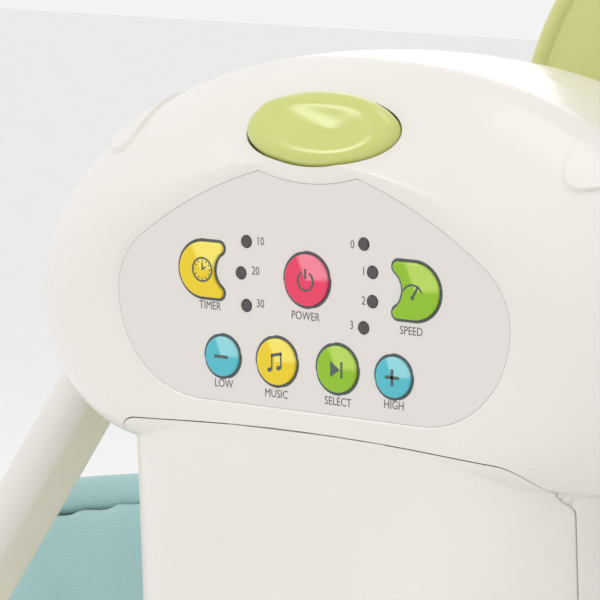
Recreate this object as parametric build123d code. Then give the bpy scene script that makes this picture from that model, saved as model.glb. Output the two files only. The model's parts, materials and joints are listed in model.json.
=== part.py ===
"""Battery-powered baby swing: two hubs on folding U-frames, a hanging seat between them.

+X is the control hub's side, the seat faces -Y, +Z is up. The origin is on the floor, midway
between the hubs and midway between the front and rear feet. All sizes are in millimetres.
"""
from build123d import *
from math import asin, atan2, cos, degrees, pi, radians, sin, sqrt
import os

os.makedirs("parts", exist_ok=True)

# ---------------------------------------------------------------- driving dimensions
# overall
FACE_X = 356.0            # outer face of a hub, from the middle of the swing
HUB_Z = 590.0             # height of the swing shaft and of the power key
BASE_HALF = 345.0         # centre line of the swing to the middle of a foot
WALL = 2.8                # moulded shell wall
GAP = 0.3                 # gap between parts that only sit beside each other
RUN = 0.05                # radial running clearance of pins, shafts and bushes

# hub head, seen from its face: half an ellipse above the waist, rounded corners below
WAIST_Z = -14.0           # widest height, from the shaft
FACE_HALF, FACE_TOP, FACE_CORNER = 68.0, 32.0, 28.0     # flat face
RIM_HALF, RIM_TOP, RIM_CORNER = 110.0, 58.0, 41.0       # parting line, the largest section
MID_HALF, MID_TOP, MID_CORNER = 108.5, 56.5, 40.5       # half way down the back shell
BACK_HALF, BACK_TOP, BACK_CORNER = 104.0, 52.0, 38.0    # back of the head
RIM_DEPTH = 36.0          # face to parting line
MID_DEPTH = 66.0
HEAD_DEPTH = 92.0         # face to back
BACK_ROUND = 8.0
FACE_FLOOR = 3.6          # thickness of the face behind the label

# hub trunk below the head, it holds the battery case
TRUNK_TOP = -25.0
TRUNK_LOW = -142.0
TRUNK_HALF_TOP, TRUNK_HALF_LOW = 76.5, 73.5
TRUNK_LEAN = 2.0          # how far its foot stands back from the face
CROWN_OUT, CROWN_IN = 38.0, 34.0        # elliptical rounding of its two front corners
TRUNK_BACK = 84.0
TRUNK_BACK_ROUND = 16.0
TRUNK_FOOT_ROUND = 8.0

# label and keys
LABEL_DROP = 0.8          # label surface below the face
LABEL_THICK = 0.6
LABEL_BEVEL = 1.6
LABEL_TIP_Y, LABEL_TIP_Z = 64.0, -8.0   # side extreme of the label
LOBE_LOW_R, LOBE_HIGH_R, LOBE_TURN = 27.8, 19.7, 52.8
LABEL_CORNER_Y, LABEL_CORNER_Z = 16.0, 28.4
LABEL_DIP_Z = 25.9        # the top edge dips under the release button
KEY_GAP = 0.3
KEY_PROUD = 1.0           # key crown above the label
KEY_TRAVEL = 0.4
KEY_FLANGE = 1.0
KEY_STEM_R = 1.6
POWER_R = 7.0
SMALL_KEY_R, LARGE_KEY_R = 5.5, 6.35
LOW_Y, LOW_Z = 28.0, -23.4
MUSIC_Y, MUSIC_Z = 9.9, -23.1
CRESCENT_Y = 34.3
CRESCENT_BACK, CRESCENT_HALF, CRESCENT_WAIST = 8.0, 7.6, 3.4
CRESCENT_HOLLOW, CRESCENT_ROUND = 6.0, 1.5
LED_R = 1.65
TIMER_LED_ARC, TIMER_LED_STEP = 21.9, 23.5
SPEED_LED_ARC, SPEED_LED_TURNS = 21.4, (31.5, 10.5, -10.5, -31.5)

# release button and latch
BUTTON_HALF_W, BUTTON_HALF_H = 24.3, 11.4
BUTTON_TILT = 34.0
BUTTON_DEPTH, BUTTON_Z = 8.0, 39.3      # middle of the button where it leaves the shell
BUTTON_PROUD = 4.0
BUTTON_SKIRT = 9.0
BUTTON_GAP = 0.4
LATCH_DEPTH, LATCH_THICK = 80.0, 4.0
LATCH_POST_Y, LATCH_POST_Z, LATCH_POST_R = 30.0, 23.0, 2.5
LATCH_PIN_R = 3.0
LATCH_ARM = 9.5           # leg pivot to latch pin
LATCH_PIN_TURN = 135.0    # where the latch pin stands round the leg pivot

# battery case
DOOR_TOP_Z, DOOR_SHOULDER_Z, DOOR_SHOULDER_Y = -41.5, -44.0, 59.0
DOOR_NECK_Y, DOOR_NECK_Z = 69.0, -51.5
DOOR_HALF, DOOR_WIDE_Z = 72.0, -58.5
DOOR_LOW_Z, DOOR_LOW_ROUND = -131.0, 6.0
DOOR_THICK = 2.4
DOOR_GAP = 0.35
CELL_R, CELL_LONG, CELL_PITCH = 16.6, 61.0, 34.2
CELL_DEPTH, CELL_Z = 27.0, -88.0
CONTACT = 4.0
TRAY_FRONT, TRAY_WALL = 29.8, 2.0
DOOR_DEEP = 28.5         # how far the door reaches round the corners of the trunk

# swing shaft, drive and arms
SHAFT_R = 9.0
BUSH_WALL, BUSH_FLANGE_R, BUSH_FLANGE = 2.0, 15.0, 2.0
BOSS_WALL = 4.0
BOSS_DEPTH = 74.0         # where the bush boss starts inside the hub
SHAFT_DEPTH = 52.0
LEVER_DEPTH, LEVER_THICK, LEVER_LONG = 56.0, 6.0, 66.0
MAGNET_R, MAGNET_LONG = 7.0, 10.0
COIL_R, COIL_LONG, CORE_R = 13.0, 16.0, 4.0
ARM_THICK, ARM_WIDE = 12.0, 24.0
ARM_HEAD_R, ARM_HEAD_THICK = 24.0, 14.0
ARM_FOOT_R = 20.0

# folding frame
PIVOT_Y, PIVOT_RISE = 82.0, 4.0
LEG_DEPTH = 57.0          # face of the hub to the middle of a leg
LEG_WIDE, LEG_THICK, TUBE_WALL = 28.0, 13.0, 1.5
LEG_TILT, LEG_LOW_TILT = 34.0, 18.0
LEG_UPPER = 275.0
LEG_BEND = 120.0
LEG_START = 24.0
LEG_FOLD = 22.0
KNUCKLE_R = 14.5
PIVOT_PIN_R = 5.0
SLOT_ROOM = 1.6
FLOOR_TUBE_R = 12.5
FOOT_LONG, FOOT_WIDE, FOOT_HIGH = 62.0, 54.0, 46.0
FOOT_ROUND = 9.0
PAD_THICK, PAD_INSET = 3.0, 5.0
SOCKET = 30.0

# seat
SEAT_HALF = 205.0
SEAT_WALL = 4.0
SEAT_C_Y, SEAT_C_Z = -80.0, 312.0       # inside corner between seat pan and backrest
BACK_LEAN, PAN_RISE = 35.0, 12.0
BACK_LONG, PAN_LONG = 545.0, 216.0
SEAT_ROUND = 34.0
RECLINE_Y, RECLINE_Z = 0.0, 470.0
RECLINE_PIN_R, RECLINE_BOSS_R = 6.0, 15.0
PAD_HALF, BACK_PAD_THICK, PAN_PAD_THICK = 162.0, 27.0, 21.0
STRAP_WIDE, STRAP_THICK = 25.0, 2.0

# ---------------------------------------------------------------- helpers
HUB = Pos(FACE_X, 0, HUB_Z)
OTHER_SIDE = Rot(0, 0, 180)


def save(node, *solids):
    """Write one node: its solids stay separate solids."""
    pieces = [piece for shape in solids for piece in shape.solids()]
    shape = pieces[0] if len(pieces) == 1 else Compound(children=pieces)
    export_step(shape, f"parts/{node}.step")


def yz_plane(depth):
    """Plane parallel to a hub's face, depth behind it; sketch x is Y and sketch y is Z."""
    return Plane(origin=(-depth, 0, 0), x_dir=(0, 1, 0), z_dir=(1, 0, 0))


def slab(sketch, depth_front, depth_back):
    """Solid of a sketch between two depths behind a hub's face."""
    return extrude(yz_plane(depth_back) * sketch, depth_back - depth_front)


def rod_x(radius, depth_front, depth_back, y=0.0, z=0.0):
    return slab(Pos(y, z) * Circle(radius), depth_front, depth_back)


def tube_x(radius, bore, depth_front, depth_back, y=0.0, z=0.0):
    ring = Circle(radius) - Circle(bore)
    return slab(Pos(y, z) * ring, depth_front, depth_back)


def side_slab(points, x_low, x_high):
    """Solid of a YZ polygon between two X positions in the swing's own frame."""
    plane = Plane(origin=(x_low, 0, 0), x_dir=(0, 1, 0), z_dir=(1, 0, 0))
    return extrude(plane * make_face(Polyline(*points, close=True)), x_high - x_low)


# ---------------------------------------------------------------- hub shells
def head_outline(half, top, corner):
    """Head section: half an ellipse above the waist, quarter circles and a flat below."""
    turn = corner * sin(radians(45))
    crown = EllipticalCenterArc((0, WAIST_Z), half, top - WAIST_Z, start_angle=0, arc_size=180)
    left = ThreePointArc(
        (-half, WAIST_Z), (-half + corner - turn, WAIST_Z - turn), (-half + corner, WAIST_Z - corner)
    )
    low = Line((-half + corner, WAIST_Z - corner), (half - corner, WAIST_Z - corner))
    right = ThreePointArc(
        (half - corner, WAIST_Z - corner), (half - corner + turn, WAIST_Z - turn), (half, WAIST_Z)
    )
    return make_face([crown, left, low, right])


def front_section(share, inset, floor):
    """Section of the front shell at a share of its depth, 0 at the face and 1 at the parting line."""
    side = sqrt(1 - (1 - share) ** 2)
    crown = sin(share * pi / 2)
    half = FACE_HALF + (RIM_HALF - FACE_HALF) * side - inset
    top = FACE_TOP + (RIM_TOP - FACE_TOP) * crown - inset
    corner = FACE_CORNER + (RIM_CORNER - FACE_CORNER) * side - inset
    return yz_plane(floor + share * (RIM_DEPTH - floor)) * head_outline(half, top, corner)


def head_form(inset, floor, back):
    """The whole head, or its hollow when inset by the wall."""
    shares = (0, 0.02, 0.07, 0.16, 0.3, 0.5, 0.75, 1)
    front = loft([front_section(share, inset, floor) for share in shares])
    sections = (
        (RIM_DEPTH, RIM_HALF, RIM_TOP, RIM_CORNER),
        (MID_DEPTH, MID_HALF, MID_TOP, MID_CORNER),
        (back, BACK_HALF, BACK_TOP, BACK_CORNER),
    )
    faces = [yz_plane(d) * head_outline(h - inset, t - inset, c - inset) for d, h, t, c in sections]
    rear = loft(faces)
    rear = fillet(rear.faces().sort_by(Axis.X)[0].edges(), BACK_ROUND - inset)
    return front + rear


def trunk_outline(half, front, inset):
    """Trunk section seen from above: crowned front corners and small back corners."""
    out, deep = CROWN_OUT - inset, CROWN_IN - inset
    half, front, back = half - inset, front - inset, -TRUNK_BACK + inset
    small = TRUNK_BACK_ROUND - inset
    flat = half - out
    face = Line((front, -flat), (front, flat))
    right = EllipticalCenterArc((front - deep, flat), deep, out, start_angle=0, arc_size=90)
    side = Line((front - deep, half), (back + small, half))
    turn = small * (1 - sin(radians(45)))
    rear_right = ThreePointArc((back + small, half), (back + turn, half - turn), (back, half - small))
    rear = Line((back, half - small), (back, -half + small))
    rear_left = ThreePointArc((back, -half + small), (back + turn, -half + turn), (back + small, -half))
    other = Line((back + small, -half), (front - deep, -half))
    left = EllipticalCenterArc((front - deep, -flat), deep, out, start_angle=270, arc_size=90)
    return make_face([face, right, side, rear_right, rear, rear_left, other, left])


def trunk_form(inset):
    top = Pos(0, 0, TRUNK_TOP) * trunk_outline(TRUNK_HALF_TOP, 0, inset)
    low = Pos(0, 0, TRUNK_LOW + inset) * trunk_outline(TRUNK_HALF_LOW, -TRUNK_LEAN, inset)
    body = loft([top, low])
    return fillet(body.faces().sort_by(Axis.Z)[0].edges(), TRUNK_FOOT_ROUND - inset)


def door_outline(grow=0.0):
    """Battery door: crowned top edge, rounded shoulders and a small step in each side."""
    shoulder_at = (DOOR_SHOULDER_Y, DOOR_SHOULDER_Z + grow)
    neck = (DOOR_NECK_Y + grow, DOOR_NECK_Z)
    wide = (DOOR_HALF + grow, DOOR_WIDE_Z)
    low = DOOR_LOW_Z - grow
    round_low = DOOR_LOW_ROUND + grow
    turn = round_low * (1 - sin(radians(45)))
    half_edges = [
        TangentArc(shoulder_at, neck, tangent=(1, -0.1)),
        Spline(neck, wide, tangents=[(0, -1), (0, -1)]),
        Line(wide, (wide[0], low + round_low)),
        ThreePointArc((wide[0], low + round_low), (wide[0] - turn, low + turn), (wide[0] - round_low, low)),
    ]
    crown = ThreePointArc((-shoulder_at[0], shoulder_at[1]), (0, DOOR_TOP_Z + grow), shoulder_at)
    base = Line((-wide[0] + round_low, low), (wide[0] - round_low, low))
    return make_face([crown, base, *half_edges, *[mirror(edge, Plane.YZ) for edge in half_edges]])


def label_outline(grow=0.0):
    """Label: two round lobes, sloping shoulders and a dip under the release button."""
    low_y, low_z = LABEL_TIP_Y - LOBE_LOW_R, LABEL_TIP_Z
    base = (low_y, low_z - LOBE_LOW_R)
    floor = Line((-low_y, base[1]), base)
    lower = JernArc(base, (1, 0), LOBE_LOW_R, 90)
    upper = JernArc(lower @ 1, (0, 1), LOBE_HIGH_R, LOBE_TURN)
    shoulder = TangentArc(upper @ 1, (LABEL_CORNER_Y, LABEL_CORNER_Z), tangent=upper % 1)
    dip = ThreePointArc(
        (LABEL_CORNER_Y, LABEL_CORNER_Z), (0, LABEL_DIP_Z), (-LABEL_CORNER_Y, LABEL_CORNER_Z)
    )
    half_edges = [lower, upper, shoulder]
    face = make_face([floor, dip, *half_edges, *[mirror(edge, Plane.YZ) for edge in half_edges]])
    return offset(face, grow) if grow else face


def crescent(side, grow=0.0):
    """Crescent key outline; its hollow faces the middle of the panel."""
    way = -side
    hollow_x = CRESCENT_WAIST + CRESCENT_HOLLOW
    reach = CRESCENT_HOLLOW + CRESCENT_ROUND
    tip_z = CRESCENT_HALF - CRESCENT_ROUND
    tip_x = hollow_x - sqrt(reach ** 2 - tip_z ** 2)
    lean = asin(tip_z / reach)
    half, tip = CRESCENT_HALF + grow, CRESCENT_ROUND + grow
    hollow = CRESCENT_HOLLOW - grow
    mid = (pi / 2 - lean) / 2
    meet = (hollow_x - hollow * cos(lean), hollow * sin(lean))
    round_mid = (tip_x + tip * cos(mid), tip_z + tip * sin(mid))
    edges = [
        EllipticalCenterArc((0, 0), CRESCENT_BACK + grow, half, start_angle=way * 90, arc_size=180),
        ThreePointArc((way * meet[0], -meet[1]), (way * (CRESCENT_WAIST + grow), 0), (way * meet[0], meet[1])),
    ]
    for up in (1, -1):
        edges.append(Line((0, up * half), (way * tip_x, up * half)))
        edges.append(ThreePointArc(
            (way * tip_x, up * half), (way * round_mid[0], up * round_mid[1]), (way * meet[0], up * meet[1])
        ))
    return Pos(side * CRESCENT_Y, 0) * make_face(edges)


KEYS = {
    "key_power": lambda grow: Circle(POWER_R + grow),
    "key_timer": lambda grow: crescent(-1, grow),
    "key_speed": lambda grow: crescent(1, grow),
    "key_low": lambda grow: Pos(-LOW_Y, LOW_Z) * Circle(SMALL_KEY_R + grow),
    "key_high": lambda grow: Pos(LOW_Y, LOW_Z) * Circle(SMALL_KEY_R + grow),
    "key_music": lambda grow: Pos(-MUSIC_Y, MUSIC_Z) * Circle(LARGE_KEY_R + grow),
    "key_select": lambda grow: Pos(MUSIC_Y, MUSIC_Z) * Circle(LARGE_KEY_R + grow),
}
STEMS = {
    "key_power": (0, 0), "key_timer": (-CRESCENT_Y - 1, 0), "key_speed": (CRESCENT_Y + 1, 0),
    "key_low": (-LOW_Y, LOW_Z), "key_high": (LOW_Y, LOW_Z),
    "key_music": (-MUSIC_Y, MUSIC_Z), "key_select": (MUSIC_Y, MUSIC_Z),
}
LEDS = [
    (-TIMER_LED_ARC * cos(radians(turn)), TIMER_LED_ARC * sin(radians(turn)))
    for turn in (TIMER_LED_STEP, 0, -TIMER_LED_STEP)
] + [
    (SPEED_LED_ARC * cos(radians(turn)), SPEED_LED_ARC * sin(radians(turn)))
    for turn in SPEED_LED_TURNS
]

# the button's own frame: its z axis points out of the shell
BUTTON_PLANE = Plane(
    origin=(-BUTTON_DEPTH, 0, BUTTON_Z), x_dir=(0, 1, 0),
    z_dir=(cos(radians(BUTTON_TILT)), 0, sin(radians(BUTTON_TILT)))
)
BUTTON_FLANGE = 2.0

LEG_FRONT, LEG_BACK = LEG_DEPTH - LEG_WIDE / 2, LEG_DEPTH + LEG_WIDE / 2


def leg_fan(side):
    """Room that one leg sweeps through the lower edge of a hub, from open to folded."""
    reach = 3 * RIM_CORNER
    half = LEG_THICK / 2 + SLOT_ROOM
    fan = Circle(half)
    for turn in (LEG_TILT, LEG_TILT - LEG_FOLD / 2, LEG_TILT - LEG_FOLD):
        fan += Rot(0, 0, turn) * Pos(0, -reach / 2) * Rectangle(2 * half, reach)
    if side < 0:
        fan = mirror(fan, Plane.YZ)
    room = Circle(KNUCKLE_R + SLOT_ROOM)
    spot = Pos(side * PIVOT_Y, PIVOT_RISE)
    return slab(spot * (fan + room), LEG_FRONT - SLOT_ROOM, LEG_BACK + SLOT_ROOM)


HEAD = head_form(0, 0, HEAD_DEPTH)
HOLLOW = head_form(WALL, FACE_FLOOR, HEAD_DEPTH - WALL)
TRUNK = trunk_form(0)
TRUNK_HOLLOW = trunk_form(WALL)
OUTER = HEAD + TRUNK
INNER = HOLLOW + TRUNK_HOLLOW
BIG = 4 * RIM_HALF
FRONT_HALF = Pos(-RIM_DEPTH + BIG / 2, 0, 0) * Box(BIG, BIG, BIG)
BACK_HALF_SPACE = Pos(-RIM_DEPTH - BIG / 2, 0, 0) * Box(BIG, BIG, BIG)
SHELL = OUTER - INNER - leg_fan(1) - leg_fan(-1)
FRONT_SHELL = SHELL & FRONT_HALF
BACK_SHELL = SHELL & BACK_HALF_SPACE
BUTTON_HOLE = extrude(
    BUTTON_PLANE * Pos(0, 0, -BUTTON_SKIRT) * Ellipse(BUTTON_HALF_W + BUTTON_GAP, BUTTON_HALF_H + BUTTON_GAP),
    2.5 * BUTTON_SKIRT
)
LABEL_FLOOR = LABEL_DROP + LABEL_THICK
PCB_DEPTH, PCB_THICK = 12.0, 1.6
PCB_POSTS = ((52, -6), (-52, -6), (12, 15.5), (-12, 15.5))   # the upper pair clears the pressed button

face_shell = FRONT_SHELL - BUTTON_HOLE - slab(label_outline(), -1, LABEL_FLOOR)
bevel = loft([yz_plane(LABEL_DROP) * label_outline(0.05), yz_plane(-0.01) * label_outline(LABEL_BEVEL)])
face_shell -= bevel
for outline in KEYS.values():
    face_shell -= slab(outline(KEY_GAP), 0, 2 * FACE_FLOOR)
for led in LEDS:
    face_shell -= slab(Pos(*led) * Circle(LED_R + GAP / 2), 0, 2 * FACE_FLOOR)
for post in PCB_POSTS:
    face_shell += tube_x(3, 1, FACE_FLOOR - 0.5, PCB_DEPTH, *post)

door_prism = slab(door_outline(), -1, DOOR_DEEP)
door_room = slab(door_outline(DOOR_GAP), -1, DOOR_DEEP + DOOR_GAP)

# screw posts at the shoulders join the two shells, and bosses carry the leg pivot pins
SCREW_POSTS = ((62, 28), (-62, 28))
POST_R, POST_BORE, SCREW_R = 4.0, 1.5, 1.4
POST_LONG = 18.0
BACK_FLOOR = HEAD_DEPTH - WALL
PIN_FRONT = RIM_DEPTH - 8.0
PIN_BACK = BACK_FLOOR + 1.5
PIN_BOSS_R = PIVOT_PIN_R + 4


def with_posts(shell):
    """Front shell with its screw posts and pivot bosses, each tied to the wall by a rib."""
    for y, z in SCREW_POSTS:
        shell += rod_x(POST_R, RIM_DEPTH - POST_LONG, RIM_DEPTH, y, z)
        shell += slab(Pos(y, z + 8) * Rectangle(2, 16), RIM_DEPTH - POST_LONG / 2, RIM_DEPTH) & HEAD
        shell -= rod_x(POST_BORE, RIM_DEPTH - POST_LONG - 1, RIM_DEPTH + 1, y, z)
    for side in (1, -1):
        spot = (side * PIVOT_Y, PIVOT_RISE)
        rib = Pos(side * (PIVOT_Y + 12), PIVOT_RISE) * Rectangle(24, 2.4)
        shell += slab(rib, PIN_FRONT - 6, RIM_DEPTH) & HEAD
        shell += rod_x(PIN_BOSS_R, PIN_FRONT - 6, RIM_DEPTH, *spot)
        shell -= rod_x(PIVOT_PIN_R, PIN_FRONT, RIM_DEPTH + 1, *spot)
    return shell


front_shell = with_posts(face_shell - door_room)
far_front = with_posts(FRONT_SHELL - BUTTON_HOLE - slab(label_outline(), -1, LABEL_FLOOR) - bevel)

back_shell = BACK_SHELL
for y, z in SCREW_POSTS:
    back_shell += rod_x(POST_R, RIM_DEPTH, BACK_FLOOR + 0.5, y, z)
    back_shell -= rod_x(2 * POST_BORE, HEAD_DEPTH - 3, HEAD_DEPTH + 1, y, z)
    back_shell -= rod_x(POST_BORE + GAP, RIM_DEPTH - 1, HEAD_DEPTH + 1, y, z)
for side in (1, -1):
    spot = (side * PIVOT_Y, PIVOT_RISE)
    back_shell -= rod_x(PIVOT_PIN_R, BACK_FLOOR - 1, PIN_BACK, *spot)

# bush boss, latch guide posts and the speaker's holes in the back shell
BUSH_R = SHAFT_R + RUN + BUSH_WALL
back_shell += tube_x(BUSH_R + BOSS_WALL, BUSH_R, BOSS_DEPTH, HEAD_DEPTH)
back_shell -= rod_x(BUSH_R, BOSS_DEPTH - 1, HEAD_DEPTH + 1)
for side in (1, -1):
    back_shell += rod_x(LATCH_POST_R, LATCH_DEPTH - 6, BACK_FLOOR + 0.5, side * LATCH_POST_Y, LATCH_POST_Z)

SPEAKER_R, SPEAKER_LONG = 20.0, 14.0
SPEAKER_Y, SPEAKER_Z = 37.0, -104.0
GRILLE_HOLE_R, GRILLE_PITCH = 1.5, 6.0
TRUNK_FLOOR = TRUNK_BACK - WALL
for ring in range(3):
    count = max(1, 6 * ring)
    for step in range(count):
        turn = radians(360 * step / count)
        y = SPEAKER_Y + ring * GRILLE_PITCH * cos(turn)
        z = SPEAKER_Z + ring * GRILLE_PITCH * sin(turn)
        back_shell -= rod_x(GRILLE_HOLE_R, TRUNK_FLOOR - 1, TRUNK_BACK + 1, y, z)

# the far hub has the same shells, with a plain panel and a closed front instead of the controls
save("hub_front_shell", HUB * front_shell)
save("hub_back_shell", HUB * back_shell)
save("far_front_shell", OTHER_SIDE * HUB * far_front)
save("far_back_shell", OTHER_SIDE * HUB * back_shell)

# ---------------------------------------------------------------- panel, keys and electronics
label = slab(label_outline(-0.1), LABEL_DROP, LABEL_FLOOR)
far_label = label
for outline in KEYS.values():
    label -= slab(outline(KEY_GAP), 0, FACE_FLOOR)
for led in LEDS:
    label -= slab(Pos(*led) * Circle(LED_R + GAP / 2), 0, FACE_FLOOR)
save("label_panel", HUB * label)
save("far_panel", OTHER_SIDE * HUB * far_label)

KEY_FRONT = LABEL_DROP - KEY_PROUD
FLANGE_FRONT = FACE_FLOOR + 0.2
FLANGE_BACK = FLANGE_FRONT + KEY_FLANGE
SWITCH_HIGH, SWITCH_WIDE = 3.4, 6.0
SWITCH_FRONT = PCB_DEPTH - SWITCH_HIGH
STEM_BACK = SWITCH_FRONT - KEY_TRAVEL - 0.1
for name, outline in KEYS.items():
    crown = slab(outline(0), KEY_FRONT, FLANGE_FRONT)
    crown = fillet(crown.faces().sort_by(Axis.X)[-1].edges(), 0.6)
    key = crown + slab(outline(KEY_FLANGE), FLANGE_FRONT, FLANGE_BACK)
    key += rod_x(KEY_STEM_R, FLANGE_BACK, STEM_BACK, *STEMS[name])
    save(name, HUB * key)

PCB_HALF_W, PCB_LOW, PCB_TOP = 57.0, -31.0, 19.5
board_face = Pos(0, (PCB_LOW + PCB_TOP) / 2) * Rectangle(2 * PCB_HALF_W, PCB_TOP - PCB_LOW)
board = slab(board_face, PCB_DEPTH, PCB_DEPTH + PCB_THICK)
for post in PCB_POSTS:
    board -= rod_x(1.2, PCB_DEPTH - 1, PCB_DEPTH + 3, *post)
save("control_board", HUB * board)
switches = [
    slab(Pos(*spot) * Rectangle(SWITCH_WIDE, SWITCH_WIDE), SWITCH_FRONT + 0.5, PCB_DEPTH)
    + rod_x(KEY_STEM_R, SWITCH_FRONT, SWITCH_FRONT + 0.5, *spot)
    for spot in STEMS.values()
]
save("key_switches", *[HUB * switch for switch in switches])
lenses = [rod_x(LED_R, LABEL_DROP - 0.3, PCB_DEPTH, *led) for led in LEDS]
save("led_lenses", *[HUB * lens for lens in lenses])
board_screws = [
    rod_x(2.2, PCB_DEPTH + PCB_THICK, PCB_DEPTH + PCB_THICK + 1.5, *post)
    + rod_x(0.95, PCB_DEPTH - 6, PCB_DEPTH + PCB_THICK, *post)
    for post in PCB_POSTS
]
HEAD_SCREW_SEAT = HEAD_DEPTH - 3
shell_screws = [
    rod_x(2 * SCREW_R, HEAD_SCREW_SEAT, HEAD_SCREW_SEAT + 2, *post)
    + rod_x(SCREW_R, RIM_DEPTH - 12, HEAD_SCREW_SEAT, *post)
    for post in SCREW_POSTS
]
save(
    "hub_screws", *[HUB * screw for screw in board_screws + shell_screws],
    *[OTHER_SIDE * HUB * screw for screw in shell_screws]
)

# ---------------------------------------------------------------- battery case
door = (OUTER & door_prism) - trunk_form(DOOR_THICK) - head_form(DOOR_THICK, DOOR_THICK, HEAD_DEPTH - 4)
door = door.solids().sort_by(SortBy.VOLUME)[-1]
save("battery_door", HUB * door)

cells, contacts = [], []
TRAY_BACK = CELL_DEPTH + CELL_R + 0.4
tray_half = 2 * CELL_PITCH + TRAY_WALL
tray_high = CELL_LONG / 2 + CONTACT + TRAY_WALL
tray = slab(Pos(0, CELL_Z) * Rectangle(2 * tray_half, 2 * tray_high), TRAY_FRONT, TRAY_BACK + TRAY_WALL)
tray -= slab(
    Pos(0, CELL_Z) * Rectangle(2 * (tray_half - TRAY_WALL), 2 * (tray_high - TRAY_WALL)),
    TRAY_FRONT - 1, TRAY_BACK
)
for index in range(4):
    y = (index - 1.5) * CELL_PITCH
    can = Pos(-CELL_DEPTH, y, CELL_Z) * Cylinder(CELL_R, CELL_LONG - 1.5)
    flip = 1 if index % 2 else -1
    nub_z = CELL_Z + flip * (CELL_LONG / 2 - 0.375)
    cells.append(can + Pos(-CELL_DEPTH, y, nub_z) * Cylinder(4.8, 0.75))
    plate = CELL_LONG / 2 + CONTACT - 0.25
    contacts.append(Pos(-CELL_DEPTH - 4, y, CELL_Z + flip * plate) * Box(12, 14, 0.5))
    cone = Pos(-CELL_DEPTH, y, CELL_Z - flip * (plate - 1.9)) * Rot(0, 90 - flip * 90, 0)
    contacts.append(cone * Cone(7, 4, 3.3) + Pos(-CELL_DEPTH - 4, y, CELL_Z - flip * plate) * Box(12, 14, 0.5))
save("battery_tray", HUB * tray)
save("battery_cells", *[HUB * cell for cell in cells])
save("battery_contacts", *[HUB * contact for contact in contacts])

speaker = rod_x(SPEAKER_R, TRUNK_FLOOR - 3, TRUNK_FLOOR, SPEAKER_Y, SPEAKER_Z)
speaker += rod_x(0.6 * SPEAKER_R, TRUNK_FLOOR - SPEAKER_LONG, TRUNK_FLOOR - 3, SPEAKER_Y, SPEAKER_Z)
save("speaker", HUB * speaker)

# ---------------------------------------------------------------- release buttons and latch bars
BUTTON_AXIS = Axis(BUTTON_PLANE.origin, BUTTON_PLANE.z_dir)
button = extrude(BUTTON_PLANE * Ellipse(BUTTON_HALF_W, BUTTON_HALF_H), BUTTON_PROUD)
button = fillet(button.faces().sort_by(BUTTON_AXIS)[-1].edges(), 3.0)
skirt = BUTTON_PLANE * Ellipse(BUTTON_HALF_W, BUTTON_HALF_H)
button += extrude(skirt, -BUTTON_SKIRT)
flange_plane = BUTTON_PLANE * Pos(0, 0, -BUTTON_SKIRT)
button += extrude(flange_plane * Ellipse(BUTTON_HALF_W + 1.5, BUTTON_HALF_H + 1.2), BUTTON_FLANGE)
TAIL_Z, TAIL_HALF_Y, TAIL_HALF_Z = 33.0, 5.0, 2.5
tail_face = Pos(0, TAIL_Z) * Rectangle(2 * TAIL_HALF_Y, 2 * TAIL_HALF_Z)
button += slab(tail_face, BUTTON_DEPTH + 4, LATCH_DEPTH - GAP)

bar_face = make_face(Polyline(
    (8, 38), (8, 30), (40, 28), (PIVOT_Y - 3, 15.5), (PIVOT_Y - 3, 10), (PIVOT_Y - 8, 6), (58, 10), (34, 17),
    (-34, 17), (-58, 10), (8 - PIVOT_Y, 6), (3 - PIVOT_Y, 10), (3 - PIVOT_Y, 15.5), (-40, 28), (-8, 30), (-8, 38),
    close=True
))
bar = slab(bar_face, LATCH_DEPTH, LATCH_DEPTH + LATCH_THICK)
PIN_TURN = radians(LATCH_PIN_TURN)
LATCH_PINS = [
    (side * (PIVOT_Y + LATCH_ARM * cos(PIN_TURN)), PIVOT_RISE + LATCH_ARM * sin(PIN_TURN)) for side in (1, -1)
]
GROOVE_DEEP = 5.0
for side, pin in zip((1, -1), LATCH_PINS):
    bar += rod_x(LATCH_PIN_R, LEG_BACK - GROOVE_DEEP + 1.5, LATCH_DEPTH, *pin)
    post = (side * LATCH_POST_Y, LATCH_POST_Z)
    bar -= rod_x(LATCH_POST_R + RUN, LATCH_DEPTH - 1, LATCH_DEPTH + LATCH_THICK + 1, *post)
for prefix, turn in (("", Rot(0, 0, 0)), ("far_", OTHER_SIDE)):
    save(prefix + "release_button", turn * HUB * button)
    save(prefix + "latch_bar", turn * HUB * bar)

# ---------------------------------------------------------------- swing shaft and drive
ARM_HEAD_DEPTH = HEAD_DEPTH + BUSH_FLANGE + GAP
shaft = rod_x(SHAFT_R, SHAFT_DEPTH, ARM_HEAD_DEPTH + ARM_HEAD_THICK)
bush = tube_x(BUSH_R, SHAFT_R + RUN, BOSS_DEPTH, HEAD_DEPTH)
bush += tube_x(BUSH_FLANGE_R, SHAFT_R + RUN, HEAD_DEPTH, HEAD_DEPTH + BUSH_FLANGE)
save("swing_shafts", HUB * shaft, OTHER_SIDE * HUB * shaft)
save("shaft_bushes", HUB * bush, OTHER_SIDE * HUB * bush)

lever_face = Circle(SHAFT_R + 5) + Pos(0, -LEVER_LONG / 2) * Rectangle(12, LEVER_LONG)
lever_face += Pos(0, -LEVER_LONG) * Circle(MAGNET_R + 2.5)
lever = slab(lever_face - Circle(SHAFT_R), LEVER_DEPTH, LEVER_DEPTH + LEVER_THICK)
lever -= rod_x(MAGNET_R, 0, HEAD_DEPTH, 0, -LEVER_LONG)
magnet_front = LEVER_DEPTH + (LEVER_THICK - MAGNET_LONG) / 2
magnet = rod_x(MAGNET_R, magnet_front, magnet_front + MAGNET_LONG, 0, -LEVER_LONG)
save("drive_lever", HUB * lever)
save("drive_magnet", HUB * magnet)

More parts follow.
